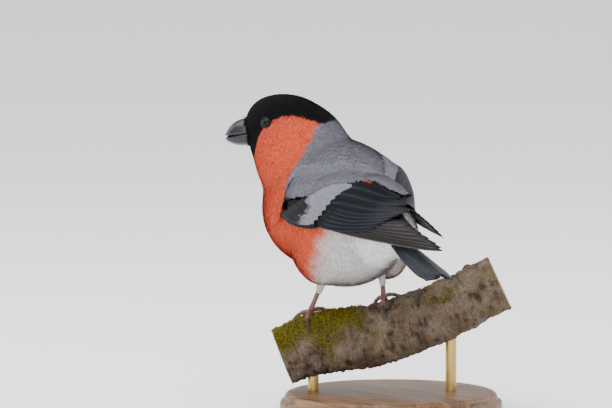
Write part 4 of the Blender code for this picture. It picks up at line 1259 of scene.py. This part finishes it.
def moss_cushions():
    """Short leafy shoots of moss in yellow green, thickest low on the branch."""
    generator = np.random.default_rng(5)
    points, faces, tint = [], [], []
    while len(points) < MOSS_SHOOTS * 5:
        distance, angle = generator.uniform(-25.5, 60), generator.uniform(-2.0, 1.2)
        share = moss_share(distance, angle)
        if generator.random() > share * 1.4 - 0.25:
            continue
        station = branch_station(distance)
        root = above_bark(station, distance, angle, bark_relief(distance, angle)[0] - 0.1)
        out = unit(above_bark(station, distance, angle, 2.0) - above_bark(station, distance, angle, 0.0))
        lean = unit(out + generator.normal(0, 0.55, 3))
        first = unit(np.cross(lean, generator.normal(size=3)))
        second = np.cross(lean, first)
        tall, wide = generator.uniform(0.5, 1.25) * (0.5 + share), generator.uniform(0.14, 0.3)
        start = len(points)
        points.append(root + lean * tall)
        for leaf in (first, second, -first, -second):
            points.append(root + lean * tall * 0.35 + leaf * wide)
        for side in range(4):
            faces.append((start, start + 1 + side, start + 1 + (side + 1) % 4))
        shade = paint(MOSS_GREEN, MOSS_YELLOW, generator.uniform(0, 1) ** 1.3)
        # painted light and shade: each shoot's tip is lighter and its low leaf ends darker
        tint += [shade * 1.15] + [shade * 0.5] * 4
    add_mesh("moss", points, faces, bark, tint=np.clip(np.array(tint), 0, 1), smooth=False)


moss_cushions()

# Legs: bare pinkish brown shanks with ringed scales, four gripping toes each, three forward
# and one back, and curved dark claws.
LEG_SIDES = {
    "left": {"knee": (4.5, -12.2, -22.0), "ankle": (0.6, -12.5, -33.8), "foot": (-5.5, -12.8, -44.8)},
    "right": {"knee": (12, 12, -17), "ankle": (14.9, 12.4, -31.0), "foot": (15.9, 12.8, -39.0)},
}
TARSUS_RADIUS, TOE_RADIUS = 1.05, 1.0
TOES = [(-6.0, 10.0, 1), (0.5, 13.0, 1), (6.5, 10.0, 1), (-1.5, 7.5, -1)]
CLAW_LENGTHS = (5.0, 5.5, 5.0, 7.0)
TOE_SPACE = 0.42               # from the bark to the underside of a toe
THIGH_FEATHERS = 800


def leg_scales(part, count, depth_share):
    """Overlapping ring scales: a saw edge along the leg."""
    return 1 + depth_share * ((part * count) % 1.0 - 0.5)


def foot_place(side):
    """Plan distance and angle of a foot's joint on the branch."""
    foot = np.array(LEG_SIDES[side]["foot"])
    distance = float(foot @ branch_plan)
    for _ in range(8):
        centre, up, _ = branch_station(distance)
        out = foot - centre
        distance += float((out - up * (out @ up)) @ branch_plan)
    return distance, math.atan2(out @ branch_across, out @ up)


def build_leg(side):
    """Shank, toes, claws and feathered thigh of one leg."""
    leg = {name: np.array(value, float) for name, value in LEG_SIDES[side].items()}
    distance, start_angle = foot_place(side)
    joint = on_branch(distance, start_angle, TOE_RADIUS + 0.65)
    shin = unit(leg["ankle"] - joint)
    parts = np.linspace(0, 1, 90)
    top = leg["ankle"] + shin * 2.5
    line = [top + (joint - top) * part for part in parts]
    radii = [TARSUS_RADIUS * (1.25 - 0.9 * part * (1 - part)) * leg_scales(part, 13, 0.09) for part in parts]
    add_shape(f"shank_{side}", [tube(line, radii, 20)], leg_skin, [f"tarsus_{side}"])
    first = unit(np.cross(shin, (0.3, 0.2, 0.9)))
    around = circle(first, np.cross(shin, first), 20)
    knuckle = [joint + shin * 1.5 * math.cos(angle) + around * 1.42 * math.sin(angle)
               for angle in np.linspace(0.08, math.pi - 0.08, 14)]
    toes = [closed_loft(knuckle)]
    for number, (shift, length, sense) in enumerate(TOES):
        radius = branch_station(distance)[2]
        swing = length / (radius + TOE_RADIUS + 0.3)
        line, sizes = [], []
        for part in np.linspace(0, 1, 56):
            angle = start_angle + sense * swing * part
            rise = TOE_RADIUS + TOE_SPACE + 0.25 * (1 - part)
            line.append(on_branch(distance + shift * part ** 0.8, angle, rise))
            pads = 1.0 - 0.25 * part + 0.09 * math.cos(part * 6 * math.pi)
            sizes.append(TOE_RADIUS * pads * leg_scales(part, 15, 0.08))
        toes.append(tube(line, sizes, 16))
        heading = unit(line[-1] - line[-3])
        claw, claw_sizes = [], []
        for part in np.linspace(0, 1, 24):
            angle = start_angle + sense * (swing + (0.3 + CLAW_LENGTHS[number] * part) / radius)
            arch = 0.9 * math.sin(math.pi * min(part * 1.15, 1)) - 0.55 * part
            place = on_branch(distance + shift * (1 + 0.12 * part), angle, TOE_RADIUS + TOE_SPACE + arch)
            held = max(1 - part / 0.2, 0)
            claw.append(place * (1 - held) + (line[-1] + heading * part * CLAW_LENGTHS[number]) * held)
            claw_sizes.append(0.72 * (1 - part) ** 0.8 + 0.06)
        add_shape(f"nail_{side}_{number}", [tube(claw, claw_sizes, 14)], claw_horn,
                  [f"claw_{side}_{number}"])
    add_shape(f"toes_{side}", toes, leg_skin, [f"foot_{side}"])
    feather_thigh(side, leg, shin)


def feather_thigh(side, leg, shin):
    """A short sleeve of soft feathers from the belly down to the bare shank."""
    generator = np.random.default_rng(61 if side == "left" else 62)
    parts = generator.uniform(0.0, 1.0, THIGH_FEATHERS)
    turns = generator.uniform(0, 2 * math.pi, THIGH_FEATHERS)
    low, high = leg["ankle"] + shin * 0.8, leg["knee"]
    sleeve = tube([low, (low + high) / 2, high], (1.2, 1.8, 2.6), 24)
    # painted shade: the sleeve under the thigh feathers is the pale belly colour at half strength
    add_shape(f"thigh_skin_{side}", [sleeve], plumage_look,
              tint=np.tile(PALE_BELLY * 0.5, (len(sleeve[0]), 1)))
    down = unit(low - high)
    first = unit(np.cross(down, (0.2, 0.9, 0.3)))
    out = np.cos(turns)[:, None] * first + np.sin(turns)[:, None] * np.cross(down, first)
    roots = low + (high - low) * parts[:, None] + out * (1.0 + 2.2 * parts)[:, None]
    length = generator.uniform(2.2, 3.4, THIGH_FEATHERS)
    along, across = barb_shapes(THIGH_FEATHERS, generator)
    aside = np.cross(out, down[None])
    places = spread_barbs(roots, down[None], aside, along * length[:, None], across * 1.3)
    places = places + out[:, None] * (0.35 * along - 0.25 * np.clip(along, 0, 1) ** 2)[..., None]
    facing = rows_unit(out[:, None] + aside[:, None] * across[..., None])
    shade = (1 + generator.normal(0, 0.08, THIGH_FEATHERS))[:, None] * (0.55 + 0.45 * np.clip(along, 0, 1))
    lay_feathers(f"thigh_feathers_{side}", places, facing,
                 np.tile(PALE_BELLY * 0.85, (THIGH_FEATHERS, 1)), shade, unwrap_near(roots), (along, across))


leg_skin = skin_material("leg_skin", srgb(126, 88, 84), srgb(84, 56, 54), 1500.0, 0.55, 0.5)
claw_horn = skin_material("claw_horn", srgb(52, 46, 46), srgb(20, 18, 19), 1200.0, 0.35, 0.2)
for leg_side in LEG_SIDES:
    build_leg(leg_side)

# Display stand: a turned round base of oiled wood, and two brass rods that go up into holes
# in the underside of the branch. It holds up the branch and isn't in the photograph.
BASE_PROFILE = [(49.0, 0), (49.7, 0.3), (50.0, 1.0), (50.0, 3.0), (49.7, 3.9), (49.0, 4.5),
                (48.3, 4.7), (47.9, 5.1), (47.9, 5.9), (47.6, 6.8), (46.9, 7.5), (45.9, 7.9),
                (44.8, 8.0)]
BASE_SIDES = 160


def wood_material():
    """Oiled walnut: long wavy grain with fine pores."""
    made, tree, shader = new_material("oiled_walnut", srgb(104, 72, 48), 0.42, specular=0.4)
    place = stretched(tree, (0.12, 1, 1))
    grain = texture(tree, "ShaderNodeTexNoise", place, Scale=190.0, Detail=7.0, Roughness=0.62,
                    Distortion=1.6)
    pores = texture(tree, "ShaderNodeTexNoise", place, Scale=1500.0, Detail=2.0)
    two_shades(tree, shader, grain.outputs["Fac"], srgb(70, 45, 29), srgb(136, 98, 66), 0.34, 0.66)
    add_bump(tree, shader, pores.outputs["Fac"], 0.12, 0.0002)
    return made


def brass_material():
    """Brushed brass, slightly dulled."""
    made, tree, shader = new_material("brushed_brass", srgb(188, 158, 96), 0.32, metallic=1.0)
    brushed = texture(tree, "ShaderNodeTexNoise", stretched(tree, (1, 1, 0.08)), Scale=3000.0, Detail=2.0)
    ramp = node(tree, "ShaderNodeMapRange", To_Min=0.24, To_Max=0.44)
    tree.links.new(brushed.outputs["Fac"], ramp.inputs["Value"])
    tree.links.new(ramp.outputs["Result"], shader.inputs["Roughness"])
    add_bump(tree, shader, brushed.outputs["Fac"], 0.1, 0.0001)
    return made


base_circle = circle(np.array((1.0, 0, 0)), np.array((0, 1.0, 0)), BASE_SIDES)
base_rings = [base_circle * radius + (0, 0, height) - BODY_CENTRE for radius, height in BASE_PROFILE]
add_shape("turned_base", [closed_loft(base_rings)], wood_material(), ["stand_base"])
brass = brass_material()
for rod_name in ("stand_rod_low", "stand_rod_high"):
    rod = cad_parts[rod_name]
    for rod_slot in rod.material_slots:
        rod_slot.material = brass
